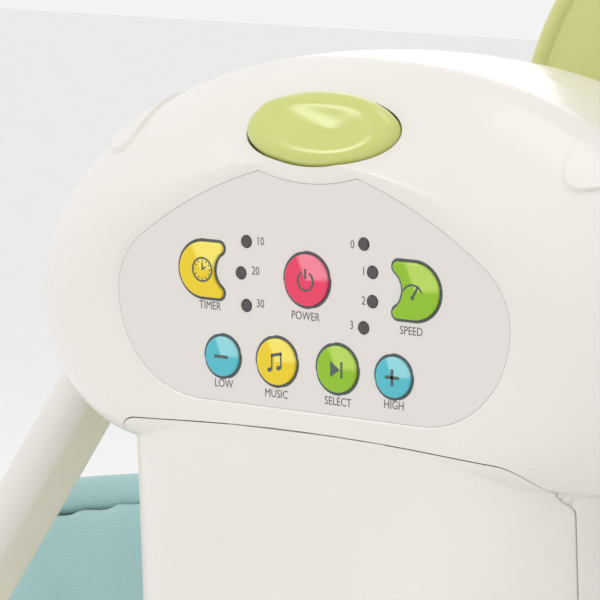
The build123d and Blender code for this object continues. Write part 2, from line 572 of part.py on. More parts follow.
coil_top = -LEVER_LONG - MAGNET_R - 5.5
coil_spot = Pos(-LEVER_DEPTH - LEVER_THICK / 2, 0, coil_top - COIL_LONG / 2)
spool = Cylinder(COIL_R, COIL_LONG) - Cylinder(COIL_R + 1, COIL_LONG - 3) + Cylinder(CORE_R + 1.2, COIL_LONG)
spool -= Cylinder(CORE_R, COIL_LONG)
foot_deep = TRUNK_FLOOR - LEVER_DEPTH - LEVER_THICK / 2 - COIL_R
spool += Pos(-COIL_R - foot_deep / 2 + 0.5, 0, -COIL_LONG / 2 + 0.75) * Box(foot_deep + 1, 16, 1.5)
winding = Cylinder(COIL_R - 1, COIL_LONG - 3) - Cylinder(CORE_R + 1.2, COIL_LONG)
save("drive_bobbin", HUB * coil_spot * spool)
save("drive_winding", HUB * coil_spot * winding)
save("drive_core", HUB * coil_spot * Cylinder(CORE_R, COIL_LONG))

# the arms hang straight down from the shafts to the seat's recline pivot
ARM_MID = ARM_HEAD_DEPTH + ARM_HEAD_THICK / 2
arm_x = FACE_X - ARM_MID
arm = rod_x(ARM_HEAD_R, ARM_HEAD_DEPTH, ARM_HEAD_DEPTH + ARM_HEAD_THICK)
arm -= rod_x(SHAFT_R, ARM_HEAD_DEPTH - 1, ARM_HEAD_DEPTH + ARM_HEAD_THICK + 1)
arm = fillet(arm.edges().filter_by(GeomType.CIRCLE).sort_by(lambda edge: edge.radius)[-2:], 2.5)
foot_y, foot_z = RECLINE_Y, RECLINE_Z - HUB_Z
arm_long = sqrt(foot_y ** 2 + foot_z ** 2)
arm_turn = degrees(atan2(-foot_y, -foot_z))
bar_low = arm_long - ARM_FOOT_R + 4
arm_face = Rot(0, 0, -arm_turn) * Pos(0, -(ARM_HEAD_R - 4 + bar_low) / 2) * Rectangle(
    ARM_WIDE, bar_low - ARM_HEAD_R + 4
)
arm_bar = slab(arm_face, ARM_MID - ARM_THICK / 2, ARM_MID + ARM_THICK / 2)
arm_bar = fillet(arm_bar.edges().filter_by(lambda edge: abs((edge % 0).X) < 0.01 and edge.length > 50), 5)
arm_foot = rod_x(ARM_FOOT_R, ARM_HEAD_DEPTH, ARM_HEAD_DEPTH + ARM_HEAD_THICK, foot_y, foot_z)
arm_foot = fillet(arm_foot.edges().filter_by(GeomType.CIRCLE), 2.5)
arm_foot -= rod_x(RECLINE_PIN_R, ARM_HEAD_DEPTH + 4, ARM_HEAD_DEPTH + ARM_HEAD_THICK + 1, foot_y, foot_z)
arm = arm + arm_bar + arm_foot
save("swing_arm", HUB * arm)
save("far_swing_arm", OTHER_SIDE * HUB * mirror(arm, Plane.XZ))
pin_end = FACE_X - SEAT_HALF - 2
recline_pin = rod_x(RECLINE_PIN_R, ARM_HEAD_DEPTH + 4, pin_end, foot_y, foot_z)
save("recline_pins", HUB * recline_pin, OTHER_SIDE * HUB * mirror(recline_pin, Plane.XZ))

# ---------------------------------------------------------------- folding legs
def leg_frame(side):
    """Legs, knuckles, feet, pads and floor tube of the front (-1) or rear (1) frame."""
    pivot = Vector(0, side * PIVOT_Y, HUB_Z + PIVOT_RISE)
    upper = Vector(0, side * sin(radians(LEG_TILT)), -cos(radians(LEG_TILT)))
    lower = Vector(0, side * sin(radians(LEG_LOW_TILT)), -cos(radians(LEG_LOW_TILT)))
    knee = pivot + upper * LEG_UPPER
    run = (BASE_HALF - abs(knee.Y)) / sin(radians(LEG_LOW_TILT))
    ankle = knee + lower * run
    start = pivot + upper * LEG_START
    tip = ankle - lower * FOOT_HIGH * 0.35
    path = FilletPolyline(start, knee, tip, radius=LEG_BEND)
    section = Plane(origin=start, x_dir=(1, 0, 0), z_dir=upper)
    outer = sweep(section * SlotOverall(LEG_WIDE, LEG_THICK), path=path)
    bore = sweep(section * SlotOverall(LEG_WIDE - 2 * TUBE_WALL, LEG_THICK - 2 * TUBE_WALL), path=path)
    tube = outer - bore

    knuckle = rod_x(KNUCKLE_R, LEG_FRONT, LEG_BACK, side * PIVOT_Y, PIVOT_RISE)
    plug_low = LEG_START + SOCKET
    plug_wide = LEG_WIDE - 2 * TUBE_WALL - 2 * GAP
    plug_face = SlotOverall(plug_wide, LEG_THICK - 2 * TUBE_WALL - 2 * GAP)
    plug_plane = Plane(origin=(-LEG_DEPTH, side * PIVOT_Y, PIVOT_RISE), x_dir=(1, 0, 0), z_dir=upper)
    plug = extrude(plug_plane * plug_face, plug_low)
    collar = extrude(plug_plane * SlotOverall(LEG_WIDE, LEG_THICK), LEG_START - GAP / 3)
    knuckle += plug + collar
    knuckle -= rod_x(PIVOT_PIN_R + RUN, 0, HEAD_DEPTH, side * PIVOT_Y, PIVOT_RISE)
    pin_turn = LATCH_PIN_TURN if side > 0 else 180 - LATCH_PIN_TURN
    for share in range(5):
        angle = radians(pin_turn - (-side) * LEG_FOLD * share / 4)
        at = (side * PIVOT_Y + LATCH_ARM * cos(angle), PIVOT_RISE + LATCH_ARM * sin(angle))
        knuckle -= rod_x(LATCH_PIN_R + GAP, LEG_BACK - GROOVE_DEEP, LEG_BACK + 1, *at)

    foot_spot = Vector(0, ankle.Y, PAD_THICK + FOOT_HIGH / 2)
    foot = Box(FOOT_LONG, FOOT_WIDE, FOOT_HIGH)
    foot = fillet(foot.edges().filter_by(Axis.Z), 2 * FOOT_ROUND)
    foot = fillet(foot.faces().sort_by(Axis.Z)[-1].edges(), FOOT_ROUND)
    leg_x = FACE_X - LEG_DEPTH
    floor_z = PAD_THICK + FOOT_HIGH / 2 - 2
    parts = {"leg": [], "knuckle": [], "foot": [], "pad": []}
    for way in (1, -1):
        shift = Pos(way * leg_x, 0, 0)
        parts["leg"].append(shift * tube)
        mirrored = knuckle if way > 0 else mirror(HUB * knuckle, Plane.YZ)
        parts["knuckle"].append(HUB * knuckle if way > 0 else mirrored)
        block = Pos(way * leg_x, foot_spot.Y, foot_spot.Z) * foot
        socket_start = tip + Vector(way * leg_x, 0, 0) - lower * FOOT_HIGH
        socket = Plane(origin=socket_start, x_dir=(1, 0, 0), z_dir=lower)
        block -= extrude(
            socket * SlotOverall(LEG_WIDE + GAP, LEG_THICK + GAP), FOOT_HIGH + GAP
        )
        tube_hole = Plane(
            origin=(way * (leg_x - FOOT_LONG / 2 + SOCKET), foot_spot.Y, floor_z),
            x_dir=(0, 1, 0), z_dir=(-way, 0, 0)
        )
        block -= extrude(tube_hole * Circle(FLOOR_TUBE_R + GAP / 2), 2 * SOCKET)
        parts["foot"].append(block)
        pad = Box(FOOT_LONG - 2 * PAD_INSET, FOOT_WIDE - 2 * PAD_INSET, PAD_THICK)
        pad = fillet(pad.edges().filter_by(Axis.Z), FOOT_ROUND)
        parts["pad"].append(Pos(way * leg_x, foot_spot.Y, PAD_THICK / 2) * pad)
    half = leg_x - FOOT_LONG / 2 + SOCKET - GAP
    floor_plane = Plane(origin=(-half, foot_spot.Y, floor_z), x_dir=(0, 1, 0), z_dir=(1, 0, 0))
    ring = Circle(FLOOR_TUBE_R) - Circle(FLOOR_TUBE_R - TUBE_WALL)
    return parts, extrude(floor_plane * ring, 2 * half)


for name, side in (("front", -1), ("rear", 1)):
    parts, floor_tube = leg_frame(side)
    save(f"{name}_leg", parts["leg"][0])
    save(f"{name}_far_leg", parts["leg"][1])
    save(f"{name}_knuckles", *parts["knuckle"])
    save(f"{name}_feet", *parts["foot"])
    save(f"{name}_foot_pads", *parts["pad"])
    save(f"{name}_floor_tube", floor_tube)
pivot_pins = [rod_x(PIVOT_PIN_R, PIN_FRONT, PIN_BACK, side * PIVOT_Y, PIVOT_RISE) for side in (1, -1)]
save("leg_pivot_pins", *[HUB * pin for pin in pivot_pins], *[OTHER_SIDE * HUB * pin for pin in pivot_pins])

# ---------------------------------------------------------------- shoulder caps
CAP_PROUD, CAP_HALF_LONG, CAP_HALF_WIDE = 1.0, 34.0, 12.0
CAP_DEPTH, CAP_Y, CAP_Z = 48.0, 78.0, 37.0
grown_head = head_form(-CAP_PROUD, -CAP_PROUD, HEAD_DEPTH + CAP_PROUD)
caps = []
for side in (1, -1):
    cap_plane = Plane(origin=(-CAP_DEPTH, side * CAP_Y, CAP_Z), x_dir=(1, 0, 0), z_dir=(0, side * 0.55, 0.83))
    leaf = extrude(cap_plane * Pos(0, 0, -15) * Ellipse(CAP_HALF_LONG, CAP_HALF_WIDE), 40)
    caps.append((grown_head & leaf) - HEAD)
save("shoulder_caps", *[HUB * cap for cap in caps], *[OTHER_SIDE * HUB * cap for cap in caps])

# ---------------------------------------------------------------- seat
PAN_WAY = (-cos(radians(PAN_RISE)), sin(radians(PAN_RISE)))
PAN_UP = (sin(radians(PAN_RISE)), cos(radians(PAN_RISE)))
BACK_WAY = (sin(radians(BACK_LEAN)), cos(radians(BACK_LEAN)))
BACK_OUT = (-cos(radians(BACK_LEAN)), sin(radians(BACK_LEAN)))


def pan(run, rise):
    """Point over the seat pan: run forward from the inside corner, rise above the pan."""
    return (SEAT_C_Y + run * PAN_WAY[0] + rise * PAN_UP[0], SEAT_C_Z + run * PAN_WAY[1] + rise * PAN_UP[1])


def back(run, rise):
    """Point in front of the backrest: run up it from the inside corner, rise off its face."""
    y = SEAT_C_Y + run * BACK_WAY[0] + rise * BACK_OUT[0]
    return (y, SEAT_C_Z + run * BACK_WAY[1] + rise * BACK_OUT[1])


def seat_corner(drop):
    """Where the pan and backrest meet when both are moved out by drop."""
    bend = radians(90 + BACK_LEAN - PAN_RISE) / 2
    way = (PAN_WAY[0] + BACK_WAY[0], PAN_WAY[1] + BACK_WAY[1])
    size = sqrt(way[0] ** 2 + way[1] ** 2)
    return (SEAT_C_Y - way[0] / size * drop / sin(bend), SEAT_C_Z - way[1] / size * drop / sin(bend))


CORNER_ROUND = 60.0
APEX = (-340.0, 830.0)


def seat_prism(half, drop, extra, edge_round):
    """Bucket block between the pan line, the backrest line and a point in front of both."""
    sides = FilletPolyline(
        pan(PAN_LONG + extra, -drop), seat_corner(drop), back(BACK_LONG + extra, -drop),
        radius=CORNER_ROUND - SEAT_WALL + drop
    )
    ends = Polyline(back(BACK_LONG + extra, -drop), APEX, pan(PAN_LONG + extra, -drop))
    plane = Plane(origin=(-half, 0, 0), x_dir=(0, 1, 0), z_dir=(1, 0, 0))
    block = extrude(plane * make_face([*sides.edges(), *ends.edges()]), 2 * half)
    keep = [APEX, back(BACK_LONG + extra, -drop), pan(PAN_LONG + extra, -drop)]
    closing = [Vector(0, (keep[i][0] + keep[0][0]) / 2, (keep[i][1] + keep[0][1]) / 2) for i in (1, 2)]

    def along_profile(edge):
        middle = edge.position_at(0.5)
        at_side = abs(abs(middle.X) - half) < 0.01
        flat = Vector(0, middle.Y, middle.Z)
        return at_side and all((flat - spot).length > 5 for spot in closing)

    return fillet(block.edges().filter_by(along_profile), edge_round)


rim = Spline(
    (-345, 411), (-300, 454), (-130, 498), (-62, 546), (-31, 608), (-12, 655), (38, 715), (112, 758),
    (200, 778),
    (300, 780)
)
under_rim = make_face([*rim.edges(), *Polyline((300, 780), (300, 200), (-345, 200), (-345, 411)).edges()])
rim_plane = Plane(origin=(-SEAT_HALF - 1, 0, 0), x_dir=(0, 1, 0), z_dir=(1, 0, 0))
rim_block = extrude(rim_plane * under_rim, 2 * SEAT_HALF + 2)
bucket = seat_prism(SEAT_HALF, SEAT_WALL, 0, SEAT_ROUND)
bucket -= seat_prism(SEAT_HALF - SEAT_WALL, 0, 60, SEAT_ROUND - SEAT_WALL)
bucket &= rim_block
boss_end = FACE_X - ARM_HEAD_DEPTH - ARM_HEAD_THICK - 0.5
EAR_X, EAR_THICK, EAR_RUN, EAR_OUT, LEVER_PIN_R = 48.0, 6.0, 300.0, 14.0, 3.0
for side in (1, -1):
    boss_plane = Plane(origin=(side * boss_end, RECLINE_Y, RECLINE_Z), x_dir=(0, 1, 0), z_dir=(-side, 0, 0))
    bucket += extrude(boss_plane * Circle(RECLINE_BOSS_R), boss_end - SEAT_HALF + SEAT_WALL / 2)
    bucket -= extrude(boss_plane * Circle(RECLINE_PIN_R + RUN), boss_end - SEAT_HALF - 1.8)
    ear = [back(EAR_RUN - 12, -SEAT_WALL / 2), back(EAR_RUN + 12, -SEAT_WALL / 2)]
    ear += [back(EAR_RUN + 7, -SEAT_WALL - EAR_OUT - 7), back(EAR_RUN - 7, -SEAT_WALL - EAR_OUT - 7)]
    bucket += side_slab(ear, side * EAR_X - EAR_THICK / 2, side * EAR_X + EAR_THICK / 2)
lever_spot = back(EAR_RUN, -SEAT_WALL - EAR_OUT)
lever_axis = Plane(origin=(-EAR_X - EAR_THICK, *lever_spot), x_dir=(0, 1, 0), z_dir=(1, 0, 0))
bucket -= extrude(lever_axis * Circle(LEVER_PIN_R + RUN), 2 * (EAR_X + EAR_THICK))
save("seat_shell", bucket)

lever_half = EAR_X - EAR_THICK / 2 - GAP
paddle = [back(EAR_RUN - 55, -SEAT_WALL - EAR_OUT - 4), back(EAR_RUN + 5, -SEAT_WALL - EAR_OUT - 4)]
paddle += [back(EAR_RUN + 5, -SEAT_WALL - EAR_OUT + 4), back(EAR_RUN - 55, -SEAT_WALL - EAR_OUT + 1)]
recline_lever = side_slab(paddle, -lever_half, lever_half)
pin_plane = Plane(origin=(-EAR_X - EAR_THICK / 2, *lever_spot), x_dir=(0, 1, 0), z_dir=(1, 0, 0))
recline_lever += extrude(pin_plane * Circle(LEVER_PIN_R), 2 * EAR_X + EAR_THICK)
save("recline_lever", recline_lever)

# pads, skirts and pillow are plain solids of the fabric's size
PAD_START = 40.0
top_of_back, top_of_pan = GAP + BACK_PAD_THICK, GAP + PAN_PAD_THICK
BACK_PAD_END, PAN_PAD_END = 524.0, 204.0
back_pad = side_slab(
    [back(PAD_START, GAP), back(BACK_PAD_END, GAP),
     back(BACK_PAD_END, top_of_back), back(PAD_START, top_of_back)],
    -PAD_HALF, PAD_HALF
)
save("back_pad", back_pad)
seat_pad = side_slab(
    [pan(PAD_START, GAP), pan(PAN_PAD_END, GAP), pan(PAN_PAD_END, top_of_pan), pan(PAD_START, top_of_pan)],
    -PAD_HALF, PAD_HALF
)
save("seat_pad", seat_pad)
SKIRT_THICK = 8.0
skirt_outline = [(-302, 450), (-135, 493), (-125, 460), (-130, 400), (-290, 402)]
skirts = [
    side_slab(skirt_outline, SEAT_HALF + GAP, SEAT_HALF + GAP + SKIRT_THICK),
    side_slab(skirt_outline, -SEAT_HALF - GAP - SKIRT_THICK, -SEAT_HALF - GAP),
]
save("side_skirts", *skirts)
PILLOW_LOW, PILLOW_TOP, PILLOW_HALF, PILLOW_THICK = 345.0, 480.0, 105.0, 26.0
pillow_base = top_of_back + GAP
pillow = side_slab(
    [back(PILLOW_LOW, pillow_base), back(PILLOW_TOP, pillow_base),
     back(PILLOW_TOP, pillow_base + PILLOW_THICK), back(PILLOW_LOW, pillow_base + PILLOW_THICK)],
    -PILLOW_HALF, PILLOW_HALF
)
save("head_pillow", pillow)

# harness: two shoulder straps, two lap straps and a crotch strap meet at the buckle
BUCKLE_RUN, BUCKLE_LONG, BUCKLE_HALF, BUCKLE_THICK = 95.0, 42.0, 32.0, 14.0
STRAP_X = 42.0
LAP_END = 150.0
CROTCH_END = 190.0
strap_back, strap_pan = top_of_back + GAP, top_of_pan + GAP
shoulder_line = [back(PILLOW_LOW - 2, strap_back), back(80, strap_back), pan(72, strap_pan),
                 pan(BUCKLE_RUN - GAP, strap_pan)]
over_line = [back(PILLOW_LOW - 2, strap_back + STRAP_THICK), back(81, strap_back + STRAP_THICK),
             pan(73, strap_pan + STRAP_THICK), pan(BUCKLE_RUN - GAP, strap_pan + STRAP_THICK)]
straps = [
    side_slab(shoulder_line + over_line[::-1], side * STRAP_X - STRAP_WIDE / 2, side * STRAP_X + STRAP_WIDE / 2)
    for side in (1, -1)
]
lap_run = BUCKLE_RUN + (BUCKLE_LONG - STRAP_WIDE) / 2
lap = [pan(lap_run, strap_pan), pan(lap_run + STRAP_WIDE, strap_pan)]
lap += [pan(lap_run + STRAP_WIDE, strap_pan + STRAP_THICK), pan(lap_run, strap_pan + STRAP_THICK)]
straps.append(side_slab(lap, BUCKLE_HALF + GAP, LAP_END))
straps.append(side_slab(lap, -LAP_END, -BUCKLE_HALF - GAP))
crotch_start = BUCKLE_RUN + BUCKLE_LONG + GAP
crotch = [pan(crotch_start, strap_pan), pan(CROTCH_END, strap_pan)]
crotch += [pan(CROTCH_END, strap_pan + STRAP_THICK), pan(crotch_start, strap_pan + STRAP_THICK)]
straps.append(side_slab(crotch, -STRAP_WIDE / 2, STRAP_WIDE / 2))
save("harness_straps", *straps)

buckle_plane = Plane(
    origin=(0, *pan(BUCKLE_RUN + BUCKLE_LONG / 2, strap_pan)), x_dir=(1, 0, 0), z_dir=(0, *PAN_UP)
)
buckle = extrude(buckle_plane * RectangleRounded(2 * BUCKLE_HALF, BUCKLE_LONG, 10), BUCKLE_THICK)
buckle = fillet(buckle.faces().sort_by(Axis((0, 0, 0), (0, *PAN_UP)))[-1].edges(), 4)
PRESS_R, PRESS_DEEP, PRESS_TRAVEL = 9.0, 8.0, 3.0
press_low = buckle_plane * Pos(0, 0, BUCKLE_THICK - PRESS_DEEP)
buckle -= extrude(press_low * Circle(PRESS_R + GAP), 2 * PRESS_DEEP)
press = extrude(press_low * Pos(0, 0, PRESS_TRAVEL + GAP) * Circle(PRESS_R), PRESS_DEEP - PRESS_TRAVEL)
save("harness_buckle", buckle)
save("buckle_button", press)
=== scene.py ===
# %% [markdown]
# This file finishes a baby swing in Blender. The mechanical parts already exist as a
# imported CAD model, which is loaded as a fixed frame. Blender adds what CAD does poorly:
# padded cloth, webbing, printed marks on the control panel, soft moulded shapes and finishes.

# %% Load the frame
import json
from math import sin, cos, radians, pi, exp, sqrt

import bmesh
import bpy
from mathutils import Matrix, Vector


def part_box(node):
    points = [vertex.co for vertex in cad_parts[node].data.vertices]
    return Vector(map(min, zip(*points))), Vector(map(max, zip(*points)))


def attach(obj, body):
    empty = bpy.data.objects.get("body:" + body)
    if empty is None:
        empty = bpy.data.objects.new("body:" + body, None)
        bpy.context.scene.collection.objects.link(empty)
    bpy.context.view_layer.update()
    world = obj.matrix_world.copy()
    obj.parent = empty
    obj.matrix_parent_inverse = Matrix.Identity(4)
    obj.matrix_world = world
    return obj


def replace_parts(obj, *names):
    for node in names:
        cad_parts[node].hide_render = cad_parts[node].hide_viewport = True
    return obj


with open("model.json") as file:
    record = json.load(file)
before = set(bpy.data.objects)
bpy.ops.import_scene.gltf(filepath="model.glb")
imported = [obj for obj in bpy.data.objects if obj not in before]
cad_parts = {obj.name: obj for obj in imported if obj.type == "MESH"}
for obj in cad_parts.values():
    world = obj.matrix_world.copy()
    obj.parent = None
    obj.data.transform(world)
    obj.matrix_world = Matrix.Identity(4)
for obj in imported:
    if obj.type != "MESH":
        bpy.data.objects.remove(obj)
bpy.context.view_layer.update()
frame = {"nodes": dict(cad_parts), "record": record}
scene = bpy.context.scene
MM = 0.001

# %% [markdown]
# The camera looks at the power key from the right and a little above, through a long lens,
# so the round control hub fills the view and its edges hardly converge. A small lens shift
# places the key a little above the middle of the view.

# %% Camera
HUB_Z = 0.590
PANEL_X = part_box("label_panel")[1][0]
AZIMUTH, ELEVATION, DISTANCE = radians(125.3), radians(8.7), 1.0
target = Vector((PANEL_X, 0, HUB_Z))
away = Vector((sin(AZIMUTH) * cos(ELEVATION), -cos(AZIMUTH) * cos(ELEVATION), sin(ELEVATION)))
lens = bpy.data.cameras.new("camera")
lens.lens, lens.sensor_width = 225, 36
lens.shift_x, lens.shift_y = -0.0122, -0.0333
lens.clip_end = 20
camera = bpy.data.objects.new("camera", lens)
camera.location = target + away * DISTANCE
camera.rotation_euler = away.to_track_quat("Z", "Y").to_euler()
scene.collection.objects.link(camera)
scene.camera = camera
print("camera at", tuple(round(v, 3) for v in camera.location))

# %% [markdown]
# Studio light for pale glossy plastic: a near-white surround, one big soft lamp high on the
# left for the long highlights, a weaker one on the right, and a top lamp for the rims.

# %% Light and floor
world = bpy.data.worlds.new("surround")
world.use_nodes = True
world.node_tree.nodes["Background"].inputs["Color"].default_value = (1, 1, 1, 1)
world.node_tree.nodes["Background"].inputs["Strength"].default_value = 0.90
scene.world = world
scene.view_settings.view_transform = "Standard"


def lamp(name, spot, aim, size, power):
    """A square soft lamp pointed at a spot."""
    data = bpy.data.lights.new(name, "AREA")
    data.size, data.energy = size, power
    light = bpy.data.objects.new(name, data)
    light.location = spot
    light.rotation_euler = (Vector(spot) - Vector(aim)).to_track_quat("Z", "Y").to_euler()
    scene.collection.objects.link(light)


lamp("key_lamp", (1.7, -0.9, 1.7), (0.3, 0, 0.55), 0.5, 5.0)
lamp("fill_lamp", (1.2, 1.6, 1.1), (0.3, 0, 0.55), 0.7, 0.8)
lamp("top_lamp", (0.2, 0.1, 2.3), (0.2, 0, 0.6), 0.8, 3.0)
lamp("far_lamp", (-1.8, -1.0, 1.6), (0, 0, 0.4), 1.2, 6)

bm = bmesh.new()
bmesh.ops.create_grid(bm, x_segments=1, y_segments=1, size=6)
floor_mesh = bpy.data.meshes.new("floor")
bm.to_mesh(floor_mesh)
bm.free()
floor = bpy.data.objects.new("floor", floor_mesh)
floor.location.z = -0.001
scene.collection.objects.link(floor)
print("lamps and floor placed")

# %% [markdown]
# Moulded plastic is never one flat colour. It has a slight cloudiness in the pigment, a fine
# orange-peel surface, and patches handled until they are a little smoother. One helper makes
# every hard finish from those three ideas, with the roughness, the depth of the cloudiness and the grain's scale and
# depth as settings.


# %% Helper for moulded plastic and paint
def paint(red, green, blue):
    """Linear colour of a paint-chart value from 0 to 255."""
    def one(value):
        value /= 255
        return value / 12.92 if value <= 0.04045 else ((value + 0.055) / 1.055) ** 2.4
    return (one(red), one(green), one(blue), 1)


def start_material(name, rough, metal=0.0, coat=0.0, sheen=0.0):
    """A new material with its principled shader and Object coordinates."""
    material = bpy.data.materials.new(name)
    material.use_nodes = True
    tree = material.node_tree
    shader = tree.nodes["Principled BSDF"]
    shader.inputs["Roughness"].default_value = rough
    shader.inputs["Metallic"].default_value = metal
    shader.inputs["Coat Weight"].default_value = coat
    shader.inputs["Coat Roughness"].default_value = 0.12
    shader.inputs["Sheen Weight"].default_value = sheen
    place = tree.nodes.new("ShaderNodeTexCoord")
    return material, tree, shader, place.outputs["Object"]


def cloud(tree, where, scale, detail=3):
    noise = tree.nodes.new("ShaderNodeTexNoise")
    noise.inputs["Scale"].default_value = scale
    noise.inputs["Detail"].default_value = detail
    tree.links.new(where, noise.inputs["Vector"])
    return noise.outputs["Fac"]


def span(tree, value, low, high):
    """Maps a 0 to 1 value onto a range."""
    node = tree.nodes.new("ShaderNodeMapRange")
    node.inputs["From Min"].default_value = 0.3
    node.inputs["From Max"].default_value = 0.7
    node.inputs["To Min"].default_value = low
    node.inputs["To Max"].default_value = high
    tree.links.new(value, node.inputs["Value"])
    return node.outputs["Result"]


def two_tone(tree, value, first, second):
    node = tree.nodes.new("ShaderNodeMix")
    node.data_type = "RGBA"
    tree.links.new(value, node.inputs["Factor"])
    node.inputs["A"].default_value = first
    node.inputs["B"].default_value = second
    return node.outputs["Result"]


def dent(tree, height, shader, strength, distance):
    bump = tree.nodes.new("ShaderNodeBump")
    bump.inputs["Strength"].default_value = strength
    bump.inputs["Distance"].default_value = distance
    tree.links.new(height, bump.inputs["Height"])
    tree.links.new(bump.outputs["Normal"], shader.inputs["Normal"])


def hard(name, colour, rough=0.3, metal=0.0, coat=0.0, grain=900.0, depth=0.00004, vary=0.05):
    """Moulded or painted finish: cloudy pigment, uneven polish and a fine surface grain."""
    material, tree, shader, where = start_material(name, rough, metal, coat)
    deep = tuple(channel * (1 - vary) for channel in colour[:3]) + (1,)
    tree.links.new(two_tone(tree, span(tree, cloud(tree, where, 14), 0, 1), deep, colour), shader.inputs["Base Color"])
    tree.links.new(span(tree, cloud(tree, where, 45), rough * 0.8, rough * 1.25), shader.inputs["Roughness"])
    dent(tree, cloud(tree, where, grain, 2), shader, 0.18, depth)
    return material


FINISH = {
    "shell_white": hard("shell_white", paint(236, 231, 225), 0.27, coat=0.2),
    "panel_film": hard("panel_film", paint(228, 222, 218), 0.38, grain=2600, depth=0.00002, vary=0.02),
    "button_green": hard("button_green", paint(204, 209, 118), 0.22, coat=0.3, vary=0.03),
    "lens_dark": hard("lens_dark", paint(75, 68, 68), 0.16, coat=0.4),
    "board_green": hard("board_green", paint(24, 88, 48), 0.4),
    "switch_black": hard("switch_black", paint(34, 34, 36), 0.45),
    "inner_grey": hard("inner_grey", paint(206, 201, 194), 0.42, grain=600),
    "steel": hard("steel", paint(176, 178, 182), 0.26, metal=1.0, grain=1600),
    "copper": hard("copper", paint(184, 108, 62), 0.32, metal=1.0, grain=1600),
    "cell_wrap": hard("cell_wrap", paint(66, 72, 78), 0.3, coat=0.3),
    "frame_white": hard("frame_white", paint(231, 227, 221), 0.33, grain=480, depth=0.00008),
    "foot_white": hard("foot_white", paint(222, 217, 210), 0.48, grain=700, depth=0.00006),
    "pad_rubber": hard("pad_rubber", paint(62, 62, 62), 0.75, grain=500, depth=0.0001),
    "seat_green": hard("seat_green", paint(214, 217, 140), 0.33, coat=0.1, grain=620, depth=0.00006),
    "buckle_grey": hard("buckle_grey", paint(124, 126, 128), 0.46, grain=600, depth=0.00006),
    "buckle_red": hard("buckle_red", paint(196, 48, 42), 0.35, coat=0.1),
    "print_grey": hard("print_grey", paint(108, 104, 104), 0.5, grain=2600, vary=0.02),
    "print_slate": hard("print_slate", paint(82, 92, 92), 0.45, grain=2600, vary=0.02),
}
floor_mesh.materials.append(hard("pale_floor", paint(246, 246, 246), 0.7, grain=60, depth=0.0001, vary=0.02))
print(len(FINISH), "hard finishes")

# %% [markdown]
# A membrane key is printed with a lighter wedge at its upper left, like a drawn reflection.
# A Mapping node centres the pattern on the key and a radial Gradient reads the sweep angle.


# %% Helper for key colours
def key_finish(node, colour, light):
    """Key colour with a lighter wedge at its upper left."""
    low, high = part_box(node)
    material, tree, shader, where = start_material(node, 0.3, coat=0.35)
    centre = tree.nodes.new("ShaderNodeMapping")
    centre.vector_type = "TEXTURE"
    centre.inputs["Location"].default_value = [(a + b) / 2 for a, b in zip(low, high)]
    centre.inputs["Rotation"].default_value = (radians(-60), 0, 0)
    tree.links.new(where, centre.inputs["Vector"])
    apart = tree.nodes.new("ShaderNodeSeparateXYZ")
    tree.links.new(centre.outputs["Vector"], apart.inputs["Vector"])
    flat = tree.nodes.new("ShaderNodeCombineXYZ")
    tree.links.new(apart.outputs["Y"], flat.inputs["X"])
    tree.links.new(apart.outputs["Z"], flat.inputs["Y"])
    sweep = tree.nodes.new("ShaderNodeTexGradient")
    sweep.gradient_type = "RADIAL"
    tree.links.new(flat.outputs["Vector"], sweep.inputs["Vector"])
    step = tree.nodes.new("ShaderNodeValToRGB")
    stops = step.color_ramp.elements
    stops[0].position, stops[0].color = 0.66, colour
    stops[1].position, stops[1].color = 0.70, light
    end = stops.new(0.96)
    end.color = light
    last = stops.new(1.0)
    last.color = colour
    tree.links.new(sweep.outputs["Fac"], step.inputs["Fac"])
    tree.links.new(step.outputs["Color"], shader.inputs["Base Color"])
    dent(tree, cloud(tree, where, 2600), shader, 0.2, 0.00002)
    return material


KEY_COLOURS = {
    "key_power": (paint(232, 50, 92), paint(245, 128, 150)),
    "key_timer": (paint(235, 205, 0), paint(248, 229, 96)),
    "key_music": (paint(235, 205, 0), paint(248, 229, 96)),
    "key_speed": (paint(140, 190, 0), paint(182, 214, 84)),
    "key_select": (paint(140, 190, 0), paint(182, 214, 84)),
    "key_low": (paint(75, 185, 200), paint(142, 214, 222)),
    "key_high": (paint(75, 185, 200), paint(142, 214, 222)),
}
print(len(KEY_COLOURS), "key colours")

# %% [markdown]
# The CAD parts arrive as loose triangles, which shade as facets. Each visible part is copied,
# its doubled corners are merged, and it is shaded smooth except across real edges. The copy
# takes the finish that the record names for it.

# %% Smooth copies of the moulded parts
SLOT_OF = {part["node"]: part["material_slot"] for part in frame["record"]["subparts"]}
BODY_OF = {n: b for b, members in frame["record"]["behaviour"]["bodies"].items() for n in members}
SOFT = {"back_pad", "seat_pad", "side_skirts", "head_pillow", "harness_straps"}
REMADE = SOFT | {"release_button", "far_release_button"}


def publish(name, bm, finish, body, crease=35):
    """Makes an object from a bmesh, shades it, gives it a finish and lets it ride on a body."""
    mesh = bpy.data.meshes.new(name)
    bm.to_mesh(mesh)
    bm.free()
    piece = bpy.data.objects.new(name, mesh)
    scene.collection.objects.link(piece)
    mesh.materials.append(finish)
    mesh.shade_smooth()
    mesh.set_sharp_from_angle(angle=radians(crease))
    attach(piece, body)
    return piece


for node, cad in frame["nodes"].items():
    if node in REMADE:
        continue
    bm = bmesh.new()
    bm.from_mesh(cad.data)
    bmesh.ops.remove_doubles(bm, verts=bm.verts, dist=0.000004)
    slot_name = SLOT_OF[node]
    finish = key_finish(node, *KEY_COLOURS[node]) if node in KEY_COLOURS else FINISH[slot_name]
    copy = publish(node + "_finished", bm, finish, BODY_OF[node])
    even = copy.modifiers.new("even_shading", "WEIGHTED_NORMAL")
    even.keep_sharp, even.weight = True, 100
    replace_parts(copy, node)
print("smooth copies made")

